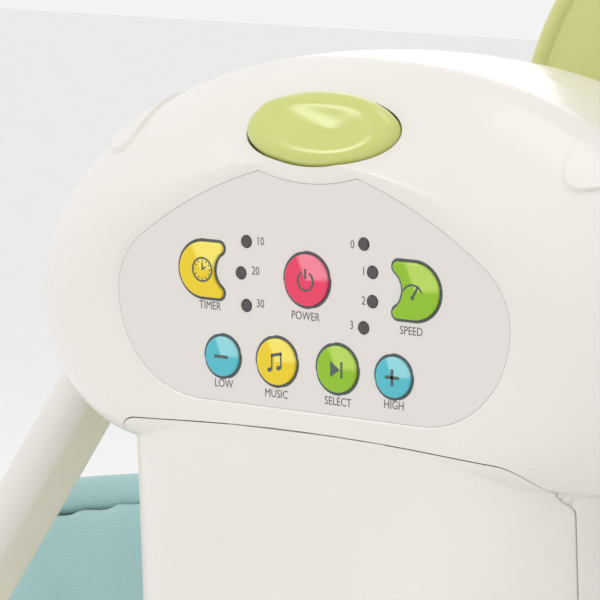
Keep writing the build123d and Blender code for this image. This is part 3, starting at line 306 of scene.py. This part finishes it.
# %% [markdown]
# The keys have a thin dark printed outline. Its shape is the key's own front face, pushed
# outwards, so the round keys and the two crescents share one method: keep the front face,
# grow its border outwards, and keep only the new strip. An inset can't do this, because the
# face stands alone and has no neighbour to take the new strip from.


# %% Key outlines
def outward(vertex):
    """Direction in the panel plane that leads away from the shape at one of its border points."""
    total = Vector()
    for edge in vertex.link_edges:
        if edge.is_boundary:
            along = edge.verts[1].co - edge.verts[0].co
            side = Vector((0, along.z, -along.y)).normalized()
            middle = (edge.verts[0].co + edge.verts[1].co) / 2
            inside = edge.link_faces[0].calc_center_median()
            total += side if side.dot(middle - inside) > 0 else -side
    return total.normalized()


def grow_border(verts, by):
    """Moves border points outwards by the same distance, measured before any of them moves."""
    steps = [(vertex, outward(vertex) * by) for vertex in verts]
    for vertex, step in steps:
        vertex.co += step


OUTLINE_GAP, OUTLINE_WIDE = 0.00010, 0.00075


def key_outline(node):
    low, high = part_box(node)
    bm = bmesh.new()
    bm.from_mesh(frame["nodes"][node].data)
    bmesh.ops.remove_doubles(bm, verts=bm.verts, dist=0.000004)
    full = max(v.co.z for v in bm.verts if v.co.x > PANEL_X + 0.00002)
    front = high[0] - 0.00002
    spare = [face for face in bm.faces if min(v.co.x for v in face.verts) < front]
    bmesh.ops.delete(bm, geom=spare, context="FACES")
    shortfall = full - max(v.co.z for v in bm.verts)
    grow_border([v for v in bm.verts if v.is_boundary], shortfall + OUTLINE_GAP)
    middle = list(bm.faces)
    wider = bm.copy()
    grow_border([v for v in wider.verts if v.is_boundary], OUTLINE_WIDE)
    outer = {v.index: v.co.copy() for v in wider.verts}
    wider.free()
    bm.verts.index_update()
    rim = [edge for edge in bm.edges if edge.is_boundary]
    was = {v: outer[v.index] for edge in rim for v in edge.verts}
    fresh = bmesh.ops.extrude_edge_only(bm, edges=rim)["geom"]
    for vertex in [item for item in fresh if isinstance(item, bmesh.types.BMVert)]:
        start = min(was, key=lambda old: (old.co - vertex.co).length)
        vertex.co = was[start]
    bmesh.ops.delete(bm, geom=middle, context="FACES")
    bmesh.ops.translate(bm, verts=bm.verts, vec=(PANEL_X + 0.00004 - high[0], 0, 0))
    return bm, len(bm.faces)


for node in KEY_COLOURS:
    bm, count = key_outline(node)
    publish(node + "_outline", bm, FINISH["print_slate"], "hubs")
    print(node, "outline of", count, "faces")

# %% [markdown]
# The marks on the keys are small raised prints. They are all made from three shapes: a bar,
# an arc and a filled disc, drawn on the panel plane with Y to the right and Z up.

# %% Marks on the keys
PRINT = 0.00008


def bar(bm, start, end, wide, x):
    """A flat straight stroke between two points given in millimetres from the power key."""
    a, b = (Vector((x, p[0] * MM, HUB_Z + p[1] * MM)) for p in (start, end))
    along = b - a
    turn = Vector((0, 1, 0)).rotation_difference(along.normalized()).to_matrix().to_4x4()
    size = Matrix.Diagonal((PRINT, along.length, wide * MM, 1))
    bmesh.ops.create_cube(bm, size=1, matrix=Matrix.Translation((a + b) / 2) @ turn @ size)


def arc(bm, middle, radius, wide, first, sweep, x):
    """A flat curved stroke, angles in degrees from the right, anticlockwise."""
    cy, cz = middle
    edge = []
    for r in (radius - wide / 2, radius + wide / 2):
        spot = (cy + r * cos(radians(first)), cz + r * sin(radians(first)))
        edge.append(bm.verts.new((x, spot[0] * MM, HUB_Z + spot[1] * MM)))
    line = bm.edges.new(edge)
    bmesh.ops.spin(
        bm, geom=[*edge, line], cent=(x, cy * MM, HUB_Z + cz * MM), axis=(1, 0, 0), angle=radians(sweep),
        steps=max(6, int(abs(sweep) / 9)), use_merge=abs(sweep) >= 359, dvec=(0, 0, 0)
    )


def disc(bm, middle, wide, high, tilt, x):
    place = Matrix.Translation((x, middle[0] * MM, HUB_Z + middle[1] * MM))
    turn = Matrix.Rotation(radians(tilt), 4, "X") @ Matrix.Rotation(radians(90), 4, "Y")
    size = Matrix.Diagonal((high * MM, wide * MM, 1, 1))
    bmesh.ops.create_circle(bm, cap_ends=True, segments=20, radius=0.5, matrix=place @ turn @ size)


def mark(name, key, draw):
    """One key's printed mark, riding on the key so that it moves when the key is pressed."""
    bm = bmesh.new()
    draw(bm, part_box(key)[1][0] + 0.00005)
    bmesh.ops.recalc_face_normals(bm, faces=bm.faces)
    publish(name, bm, FINISH["print_slate"], key)


def power_mark(bm, x):
    arc(bm, (0, -0.2), 2.5, 0.6, 122, 296, x)
    bar(bm, (0, 0.4), (0, 3.1), 0.6, x)


def timer_mark(bm, x):
    arc(bm, (-34.3, 0), 3.2, 0.5, 0, 360, x)
    for hour in range(12):
        turn = radians(30 * hour)
        bar(bm, (-34.3 + 2.2 * cos(turn), 2.2 * sin(turn)), (-34.3 + 2.75 * cos(turn), 2.75 * sin(turn)), 0.25, x)
    bar(bm, (-34.3, 0), (-34.3, 1.9), 0.4, x)
    bar(bm, (-34.3, 0), (-33.1, 0.8), 0.4, x)


def speed_mark(bm, x):
    arc(bm, (34.3, -1.4), 3.2, 0.5, 25, 130, x)
    bar(bm, (34.3, -1.6), (36.2, 1.6), 0.6, x)
    disc(bm, (34.3, -1.6), 1.1, 1.1, 0, x)


def music_mark(bm, x):
    bar(bm, (-11.0, -25.2), (-11.0, -21.2), 0.4, x)
    bar(bm, (-8.0, -24.5), (-8.0, -20.5), 0.4, x)
    bar(bm, (-11.2, -21.4), (-7.8, -20.6), 0.8, x)
    disc(bm, (-11.7, -25.3), 1.7, 1.2, 20, x)
    disc(bm, (-8.7, -24.6), 1.7, 1.2, 20, x)


def select_mark(bm, x):
    corners = [bm.verts.new((x, y * MM, HUB_Z + z * MM)) for y, z in ((8.2, -25.3), (11.2, -23.1), (8.2, -20.9))]
    bm.faces.new(corners)
    bar(bm, (11.8, -25.3), (11.8, -20.9), 0.6, x)


mark("power_mark", "key_power", power_mark)
mark("timer_mark", "key_timer", timer_mark)
mark("speed_mark", "key_speed", speed_mark)
mark("music_mark", "key_music", music_mark)
mark("select_mark", "key_select", select_mark)
mark("low_mark", "key_low", lambda bm, x: bar(bm, (-30.2, -23.4), (-25.8, -23.4), 0.8, x))
mark(
    "high_mark", "key_high",
    lambda bm, x: (bar(bm, (25.8, -23.4), (30.2, -23.4), 0.8, x), bar(bm, (28, -25.6), (28, -21.2), 0.8, x))
)
print("seven marks printed")

# %% [markdown]
# Plain function words and numbers are printed beside the keys and lamps. A text object is
# turned into a mesh first, and only then moved to its place on the panel, so the finished
# piece stays at the origin like every other.

# %% Words and numbers
WORDS = [
    ("10", -15.5, 9.1), ("20", -17.1, 0.9), ("30", -15.5, -7.9), ("0", 14.6, 10.7), ("1", 18.2, 3.8),
    ("2", 18.2, -4.0), ("3", 14.4, -10.9), ("TIMER", -32.4, -9.9), ("POWER", -0.6, -9.9),
    ("SPEED", 33.4, -10.7), ("LOW", -27.8, -31.0), ("MUSIC", -10.2, -32.0), ("SELECT", 10.0, -32.0),
    ("HIGH", 28.0, -31.0),
]
lettering = bmesh.new()
for word, y, z in WORDS:
    text = bpy.data.curves.new("word", "FONT")
    text.body, text.size = word, 0.0032
    text.align_x, text.align_y = "CENTER", "CENTER"
    text.resolution_u = 3
    holder = bpy.data.objects.new("word", text)
    scene.collection.objects.link(holder)
    bpy.context.view_layer.update()
    mesh = bpy.data.meshes.new_from_object(holder.evaluated_get(bpy.context.evaluated_depsgraph_get()))
    axes = Matrix(((0, 0, 1, PANEL_X + 0.00006), (0.84, 0, 0, y * MM), (0, 1, 0, HUB_Z + z * MM), (0, 0, 0, 1)))
    mesh.transform(axes)
    lettering.from_mesh(mesh)
    bpy.data.objects.remove(holder)
publish("panel_lettering", lettering, FINISH["print_grey"], "hubs")
print(len(WORDS), "words printed")

# %% [markdown]
# The release button is an oval pad with a shallow thumb dish and a soft ridge along its upper
# edge. A capped circle is inset again and again, which leaves concentric rings of faces, and
# each ring is then lifted to the height of the pad at that place.

# %% Release buttons
TILT = radians(34)
BUTTON_AT = Vector((0.356 - 0.008, 0, HUB_Z + 0.0393))
OUT = Vector((cos(TILT), 0, sin(TILT)))
UP = Vector((-sin(TILT), 0, cos(TILT)))
HALF_W, HALF_H = 24.2, 11.3


def pad_height(across, up):
    """Height in millimetres of the pad above the shell, for a place from -1 to 1 each way."""
    reach = min(1.0, sqrt(across * across + up * up))
    crown = 4.6 * (1 - reach ** 6) ** 0.5
    dish = 1.5 * exp(-((across - 0.25) / 0.42) ** 2 - ((up + 0.12) / 0.46) ** 2)
    ridge = 0.55 * exp(-((up - 0.52) / 0.16) ** 2) * max(0.0, 1 - max(0.0, across + 0.1) / 0.9)
    return crown - dish + ridge


def release_cap(name, body, half_turn):
    bm = bmesh.new()
    bmesh.ops.create_circle(bm, cap_ends=True, segments=72, radius=1)
    bm.faces.ensure_lookup_table()
    middle = bm.faces[0]
    for share in (0.02, 0.03, 0.04, 0.05, 0.06, 0.08, 0.1, 0.1, 0.1, 0.1, 0.1, 0.1):
        bmesh.ops.inset_individual(bm, faces=[middle], thickness=share, use_even_offset=True)
    bmesh.ops.poke(bm, faces=[middle])
    rim = [edge for edge in bm.edges if edge.is_boundary]
    wall = bmesh.ops.extrude_edge_only(bm, edges=rim)["geom"]
    skirt = {v for v in wall if isinstance(v, bmesh.types.BMVert)}
    frame_of = Matrix((
        (0, UP.x, OUT.x, BUTTON_AT.x), (1, UP.y, OUT.y, 0), (0, UP.z, OUT.z, BUTTON_AT.z), (0, 0, 0, 1)
    ))
    for v in bm.verts:
        lift = -7.0 if v in skirt else pad_height(v.co.x, v.co.y)
        v.co = (v.co.x * HALF_W * MM, v.co.y * HALF_H * MM, lift * MM)
    bmesh.ops.holes_fill(bm, edges=[edge for edge in bm.edges if edge.is_boundary])
    bmesh.ops.transform(bm, matrix=frame_of, verts=bm.verts)
    if half_turn:
        bmesh.ops.rotate(bm, verts=bm.verts, cent=(0, 0, 0), matrix=Matrix.Rotation(pi, 3, "Z"))
    bmesh.ops.recalc_face_normals(bm, faces=bm.faces)
    piece = publish(name, bm, FINISH["button_green"], body, 50)
    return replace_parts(piece, body)


release_cap("release_cap", "release_button", False)
release_cap("far_release_cap", "far_release_button", True)
print("two release buttons")

# %% [markdown]
# The seat is a thin moulded bucket, and a real one has a rolled rim, because a bare edge would
# be sharp. The roll is a curve with a round bevel that runs up one wing, across the top of the
# backrest and down the other wing.

# %% Seat rim
SIDE = [
    (-300, 454), (-215, 477), (-130, 498), (-62, 546), (-31, 608), (-12, 655), (38, 715), (112, 758), (140, 766)
]
CORNER = [(205, 180, 764), (198, 215, 760), (172, 231, 758)]
right_run = [(203 * MM, y * MM, z * MM) for y, z in SIDE]
right_run += [(x * MM, y * MM, z * MM) for x, y, z in CORNER]
left_run = [(-x, y, z) for x, y, z in reversed(right_run)]
line = bpy.data.curves.new("seat_rim", "CURVE")
line.dimensions, line.bevel_depth, line.bevel_resolution, line.resolution_u = "3D", 0.0034, 5, 10
line.use_fill_caps = True
spline = line.splines.new("BEZIER")
points = right_run + left_run
spline.bezier_points.add(len(points) - 1)
for point, spot in zip(spline.bezier_points, points):
    point.co = spot
    point.handle_left_type = point.handle_right_type = "AUTO"
holder = bpy.data.objects.new("seat_rim_line", line)
scene.collection.objects.link(holder)
bpy.context.view_layer.update()
rim_mesh = bpy.data.meshes.new_from_object(holder.evaluated_get(bpy.context.evaluated_depsgraph_get()))
bpy.data.objects.remove(holder)
bm = bmesh.new()
bm.from_mesh(rim_mesh)
publish("seat_rim", bm, FINISH["seat_green"], "seat", 60)
print("rim of", len(rim_mesh.vertices), "points")

# %% [markdown]
# At the front of each wing the cloth liner is turned over the rim and bound, so the moulding
# does not show there. The binding is the same kind of curve as the rim, a little thicker.

# %% Bound edge of the liner
def binding(name, side):
    """A padded cloth roll over the front of one wing's rim."""
    curve = bpy.data.curves.new(name, "CURVE")
    curve.dimensions, curve.bevel_depth, curve.bevel_resolution, curve.resolution_u = "3D", 0.0062, 6, 16
    curve.use_fill_caps = True
    roll = curve.splines.new("BEZIER")
    stops = [(side * 203 * MM, y * MM, z * MM) for y, z in SIDE[:4]]
    roll.bezier_points.add(len(stops) - 1)
    for point, spot in zip(roll.bezier_points, stops):
        point.co = spot
        point.handle_left_type = point.handle_right_type = "AUTO"
    made = bpy.data.objects.new(name + "_line", curve)
    scene.collection.objects.link(made)
    bpy.context.view_layer.update()
    mesh = bpy.data.meshes.new_from_object(made.evaluated_get(bpy.context.evaluated_depsgraph_get()))
    bpy.data.objects.remove(made)
    bm = bmesh.new()
    bm.from_mesh(mesh)
    return bm



# %% [markdown]
# Woven cloth shows three things: the weave, which is a fine grid of raised threads with painted shade darkening the
# gaps between them, a slow change of colour where it is rubbed, and a soft glow at grazing angles, which the sheen
# gives.
# The weave leans with the pad, so a Mapping node turns the grid to the backrest's angle.


# %% Cloth finishes
def woven(name, colour, lean, thread=1.1, depth=0.00025, vary=0.14, ways=("X", "Z")):
    """Cloth with a thread pitch in millimetres, turned by lean degrees about X."""
    material, tree, shader, where = start_material(name, 0.85, sheen=0.35)
    shader.inputs["Sheen Roughness"].default_value = 0.5
    turn = tree.nodes.new("ShaderNodeMapping")
    turn.vector_type = "POINT"
    turn.inputs["Rotation"].default_value = (radians(lean), 0, 0)
    tree.links.new(where, turn.inputs["Vector"])
    threads = []
    for way in ways:
        wave = tree.nodes.new("ShaderNodeTexWave")
        wave.bands_direction = way
        wave.inputs["Scale"].default_value = 314 / thread
        wave.inputs["Distortion"].default_value = 0.6
        wave.inputs["Detail"].default_value = 1
        tree.links.new(turn.outputs["Vector"], wave.inputs["Vector"])
        threads.append(wave.outputs["Fac"])
    weave = tree.nodes.new("ShaderNodeMath")
    weave.operation = "MULTIPLY"
    tree.links.new(threads[0], weave.inputs[0])
    tree.links.new(threads[1], weave.inputs[1])
    pale = tuple(min(1, channel * (1 + vary)) for channel in colour[:3]) + (1,)
    deep = tuple(channel * (1 - vary) for channel in colour[:3]) + (1,)
    worn = two_tone(tree, span(tree, cloud(tree, where, 9), 0, 1), deep, pale)
    # Painted shade: the colour is multiplied darker where the weave is low, in the gaps between the raised threads.
    shade = tree.nodes.new("ShaderNodeMix")
    shade.data_type, shade.blend_type = "RGBA", "MULTIPLY"
    shade.inputs["Factor"].default_value = 0.35
    tree.links.new(worn, shade.inputs["A"])
    tree.links.new(two_tone(tree, weave.outputs[0], (0.62, 0.62, 0.62, 1), (1, 1, 1, 1)), shade.inputs["B"])
    tree.links.new(shade.outputs["Result"], shader.inputs["Base Color"])
    dent(tree, weave.outputs[0], shader, 0.7, depth)
    return material


TEAL = paint(166, 207, 207)
CLOTH_BACK = woven("teal_back_cloth", TEAL, 35)
CLOTH_PAN = woven("teal_pan_cloth", TEAL, -78)
CLOTH_SIDE = woven("teal_side_cloth", TEAL, 0, ways=("Y", "Z"))
CLOTH_PILLOW = woven("green_pillow_cloth", paint(214, 219, 150), 35, 0.9)
WEBBING = woven("grey_webbing", paint(172, 174, 172), 35, 2.2, 0.0004)
print("five cloths")

# %% Publish the bound edges
for name, side in (("wing_binding", 1), ("far_wing_binding", -1)):
    piece = publish(name, binding(name, side), CLOTH_SIDE, "seat", 80)
print("two bound edges")

# %% [markdown]
# A stuffed pad starts as a rounded block a little smaller than its place. It is remeshed into
# even faces, blown up by a short cloth simulation so its sides pull in between the corners, and
# then capped so no point moves far. Sewn channels are pressed in afterwards, because the
# remesh would erase anything that fine.

# %% Helpers for stuffed pads
LEAN, RISE = radians(35), radians(12)
BEND = Vector((0, -0.080, 0.312))
BACK_FRAME = Matrix((
    (1, 0, 0, 0), (0, sin(LEAN), -cos(LEAN), BEND.y), (0, cos(LEAN), sin(LEAN), BEND.z), (0, 0, 0, 1)
))
PAN_FRAME = Matrix((
    (1, 0, 0, 0), (0, -cos(RISE), sin(RISE), BEND.y), (0, sin(RISE), cos(RISE), BEND.z), (0, 0, 0, 1)
))


def only(piece):
    bpy.ops.object.select_all(action="DESELECT")
    piece.select_set(True)
    bpy.context.view_layer.objects.active = piece


def swell(piece, voxel, cap, pressure=4.0):
    """Remeshes a closed block evenly and inflates it, no point moving further than cap metres."""
    only(piece)
    remesh = piece.modifiers.new("even", "REMESH")
    remesh.mode, remesh.voxel_size = "VOXEL", voxel
    bpy.ops.object.modifier_apply(modifier="even")
    start = [v.co.copy() for v in piece.data.vertices]
    cloth = piece.modifiers.new("stuffing", "CLOTH")
    settings = cloth.settings
    settings.use_pressure, settings.uniform_pressure_force = True, pressure
    settings.effector_weights.gravity = 0
    cloth.point_cache.frame_start, cloth.point_cache.frame_end = 1, 20
    for step in range(1, 21):
        scene.frame_set(step)
    bpy.ops.object.modifier_apply(modifier="stuffing")
    scene.frame_set(1)
    for vertex, first in zip(piece.data.vertices, start):
        move = vertex.co - first
        if move.length > cap:
            vertex.co = first + move.normalized() * cap
    bm = bmesh.new()
    bm.from_mesh(piece.data)
    for _ in range(3):
        bmesh.ops.smooth_vert(bm, verts=bm.verts, factor=0.5, use_axis_x=True, use_axis_y=True, use_axis_z=True)
    bmesh.ops.recalc_face_normals(bm, faces=bm.faces)
    bm.to_mesh(piece.data)
    bm.free()


def block(half_x, run, thick, base, round_by=0.016):
    """A rounded block in a pad's own frame: x across, y along the run, z off the surface."""
    bm = bmesh.new()
    middle = ((run[0] + run[1]) / 2, base + thick / 2)
    size = Matrix.Diagonal((2 * half_x, run[1] - run[0], thick, 1))
    bmesh.ops.create_cube(bm, size=1, matrix=Matrix.Translation((0, *middle)) @ size)
    upright = [e for e in bm.edges if abs(e.verts[0].co.z - e.verts[1].co.z) > thick / 2]
    bmesh.ops.bevel(bm, geom=upright, offset=round_by * 1.6, segments=6, profile=0.5, affect="EDGES", material=-1)
    level = [e for e in bm.edges if abs(e.verts[0].co.z - e.verts[1].co.z) < 1e-6]
    bmesh.ops.bevel(
        bm, geom=level, offset=min(round_by, thick * 0.36), segments=4, profile=0.5, affect="EDGES", material=-1
    )
    return bm


def stuffed(name, bm, finish, body, node, voxel, cap, dent_by, matrix):
    """Swells a pad in its own frame, presses its channels, and moves its mesh into place."""
    piece = publish(name, bm, finish, body, 80)
    swell(piece, voxel, cap)
    for vertex in piece.data.vertices:
        vertex.co.z -= dent_by(vertex.co.x, vertex.co.y, vertex.normal.z)
    piece.data.transform(matrix)
    smooth = piece.modifiers.new("rounding", "SUBSURF")
    smooth.levels = smooth.render_levels = 1
    only(piece)
    bpy.ops.object.modifier_apply(modifier="rounding")
    piece.data.shade_smooth()
    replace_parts(piece, node)
    print(name, len(piece.data.vertices), "points")
    return piece


def groove(value, at, wide, deep):
    return deep * exp(-((value - at) / wide) ** 2)


# %% [markdown]
# The backrest pad has two long channels beside the middle and cross channels, where the
# stuffing is quilted. The seat pad has the same channels, fewer and closer together.

# %% Back pad and seat pad
def back_channels(x, run, facing):
    if facing < 0.2:
        return 0
    rows = sum(groove(run, at, 0.0035, 0.0035) for at in (0.13, 0.22, 0.31))
    lanes = sum(groove(x, at, 0.0035, 0.0035) for at in (-0.085, 0.085))
    border = sum(groove(x, at, 0.003, 0.002) for at in (-0.148, 0.148))
    return rows * (abs(x) < 0.085) + lanes + border


def pan_channels(x, run, facing):
    if facing < 0.2:
        return 0
    rows = sum(groove(run, at, 0.0035, 0.003) for at in (0.085, 0.15))
    return rows * (abs(x) < 0.085) + sum(groove(x, at, 0.0035, 0.003) for at in (-0.085, 0.085))


stuffed(
    "back_pad_cloth", block(0.157, (0.044, 0.520), 0.022, 0.0025), CLOTH_BACK, "seat", "back_pad",
    0.006, 0.006, back_channels, BACK_FRAME
)
stuffed(
    "seat_pad_cloth", block(0.157, (0.044, 0.200), 0.017, 0.0025), CLOTH_PAN, "seat", "seat_pad",
    0.005, 0.005, pan_channels, PAN_FRAME
)

# %% [markdown]
# The pillow is a small firm cushion at the head. It has one shallow hollow where a head rests.

# %% Head pillow
PILLOW_BASE = 0.0003 + 0.027 + 0.0012


def head_hollow(x, run, facing):
    if facing < 0.2:
        return 0
    return 0.006 * exp(-(x / 0.045) ** 2 - ((run - 0.412) / 0.036) ** 2)


stuffed(
    "pillow_cloth", block(0.100, (0.350, 0.475), 0.021, PILLOW_BASE, 0.02), CLOTH_PILLOW, "seat", "head_pillow",
    0.0045, 0.008, head_hollow, BACK_FRAME
)

# %% [markdown]
# A quilted side panel covers the outside of each wing, below the hub. It starts as one outline,
# extruded to the thickness of wadding. Both panels belong to one piece.

# %% Side skirts
SKIRT = [(-302, 452), (-220, 475), (-132, 496), (-127, 458), (-132, 403), (-210, 401), (-287, 404)]


def side_panels():
    bm = bmesh.new()
    for side in (1, -1):
        ring = [bm.verts.new((side * 0.2068, y * MM, z * MM)) for y, z in SKIRT]
        face = bm.faces.new(ring)
        grown = bmesh.ops.extrude_face_region(bm, geom=[face])
        moved = [v for v in grown["geom"] if isinstance(v, bmesh.types.BMVert)]
        bmesh.ops.translate(bm, verts=moved, vec=(side * 0.0052, 0, 0))
    bmesh.ops.recalc_face_normals(bm, faces=bm.faces)
    return bm


skirts = publish("side_skirt_cloth", side_panels(), CLOTH_SIDE, "seat", 80)
swell(skirts, 0.004, 0.0025, 2.0)
only(skirts)
rounding = skirts.modifiers.new("rounding", "SUBSURF")
rounding.levels = rounding.render_levels = 1
bpy.ops.object.modifier_apply(modifier="rounding")
skirts.data.shade_smooth()
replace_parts(skirts, "side_skirts")
print("side panels", len(skirts.data.vertices), "points")

# %% [markdown]
# Harness webbing is flat, so it is modelled directly: one edge as wide as the strap is extruded
# along the line the strap takes, then given its thickness and rounded by subdivision.

# %% Harness webbing
def ribbon(bm, wide_from, wide_to, stops):
    """A strip between two widths (x values), through stops that are (y, z) in metres."""
    pair = [bm.verts.new((x, stops[0][0], stops[0][1])) for x in (wide_from, wide_to)]
    edge = bm.edges.new(pair)
    for before, after in zip(stops, stops[1:]):
        made = bmesh.ops.extrude_edge_only(bm, edges=[edge])["geom"]
        fresh = [item for item in made if isinstance(item, bmesh.types.BMVert)]
        bmesh.ops.translate(bm, verts=fresh, vec=(0, after[0] - before[0], after[1] - before[1]))
        edge = next(item for item in made if isinstance(item, bmesh.types.BMEdge) and
                    all(v in fresh for v in item.verts))


def on_back(run, rise):
    spot = BACK_FRAME @ Vector((0, run * MM, rise * MM))
    return (spot.y, spot.z)


def on_pan(run, rise):
    spot = PAN_FRAME @ Vector((0, run * MM, rise * MM))
    return (spot.y, spot.z)


bm = bmesh.new()
for side in (1, -1):
    stops = [on_back(343, 30), on_back(290, 30.5), on_back(220, 30), on_back(150, 30), on_back(105, 30)]
    stops += [on_back(82, 31), on_pan(73, 25), on_pan(80, 24), on_pan(96, 24)]
    ribbon(bm, side * 0.042 - 0.0125, side * 0.042 + 0.0125, stops)
    ribbon(bm, side * 0.033, side * 0.150, [on_pan(103.5, 24), on_pan(116, 24.3), on_pan(128.5, 24)])
ribbon(bm, -0.0125, 0.0125, [on_pan(137, 24), on_pan(160, 24.4), on_pan(190, 23.6)])
bmesh.ops.recalc_face_normals(bm, faces=bm.faces)
straps = publish("harness_webbing", bm, WEBBING, "seat", 60)
thick = straps.modifiers.new("thickness", "SOLIDIFY")
thick.thickness, thick.offset = 0.0018, 0
soft = straps.modifiers.new("rounding", "SUBSURF")
soft.levels = soft.render_levels = 2
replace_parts(straps, "harness_straps")
print("five straps")
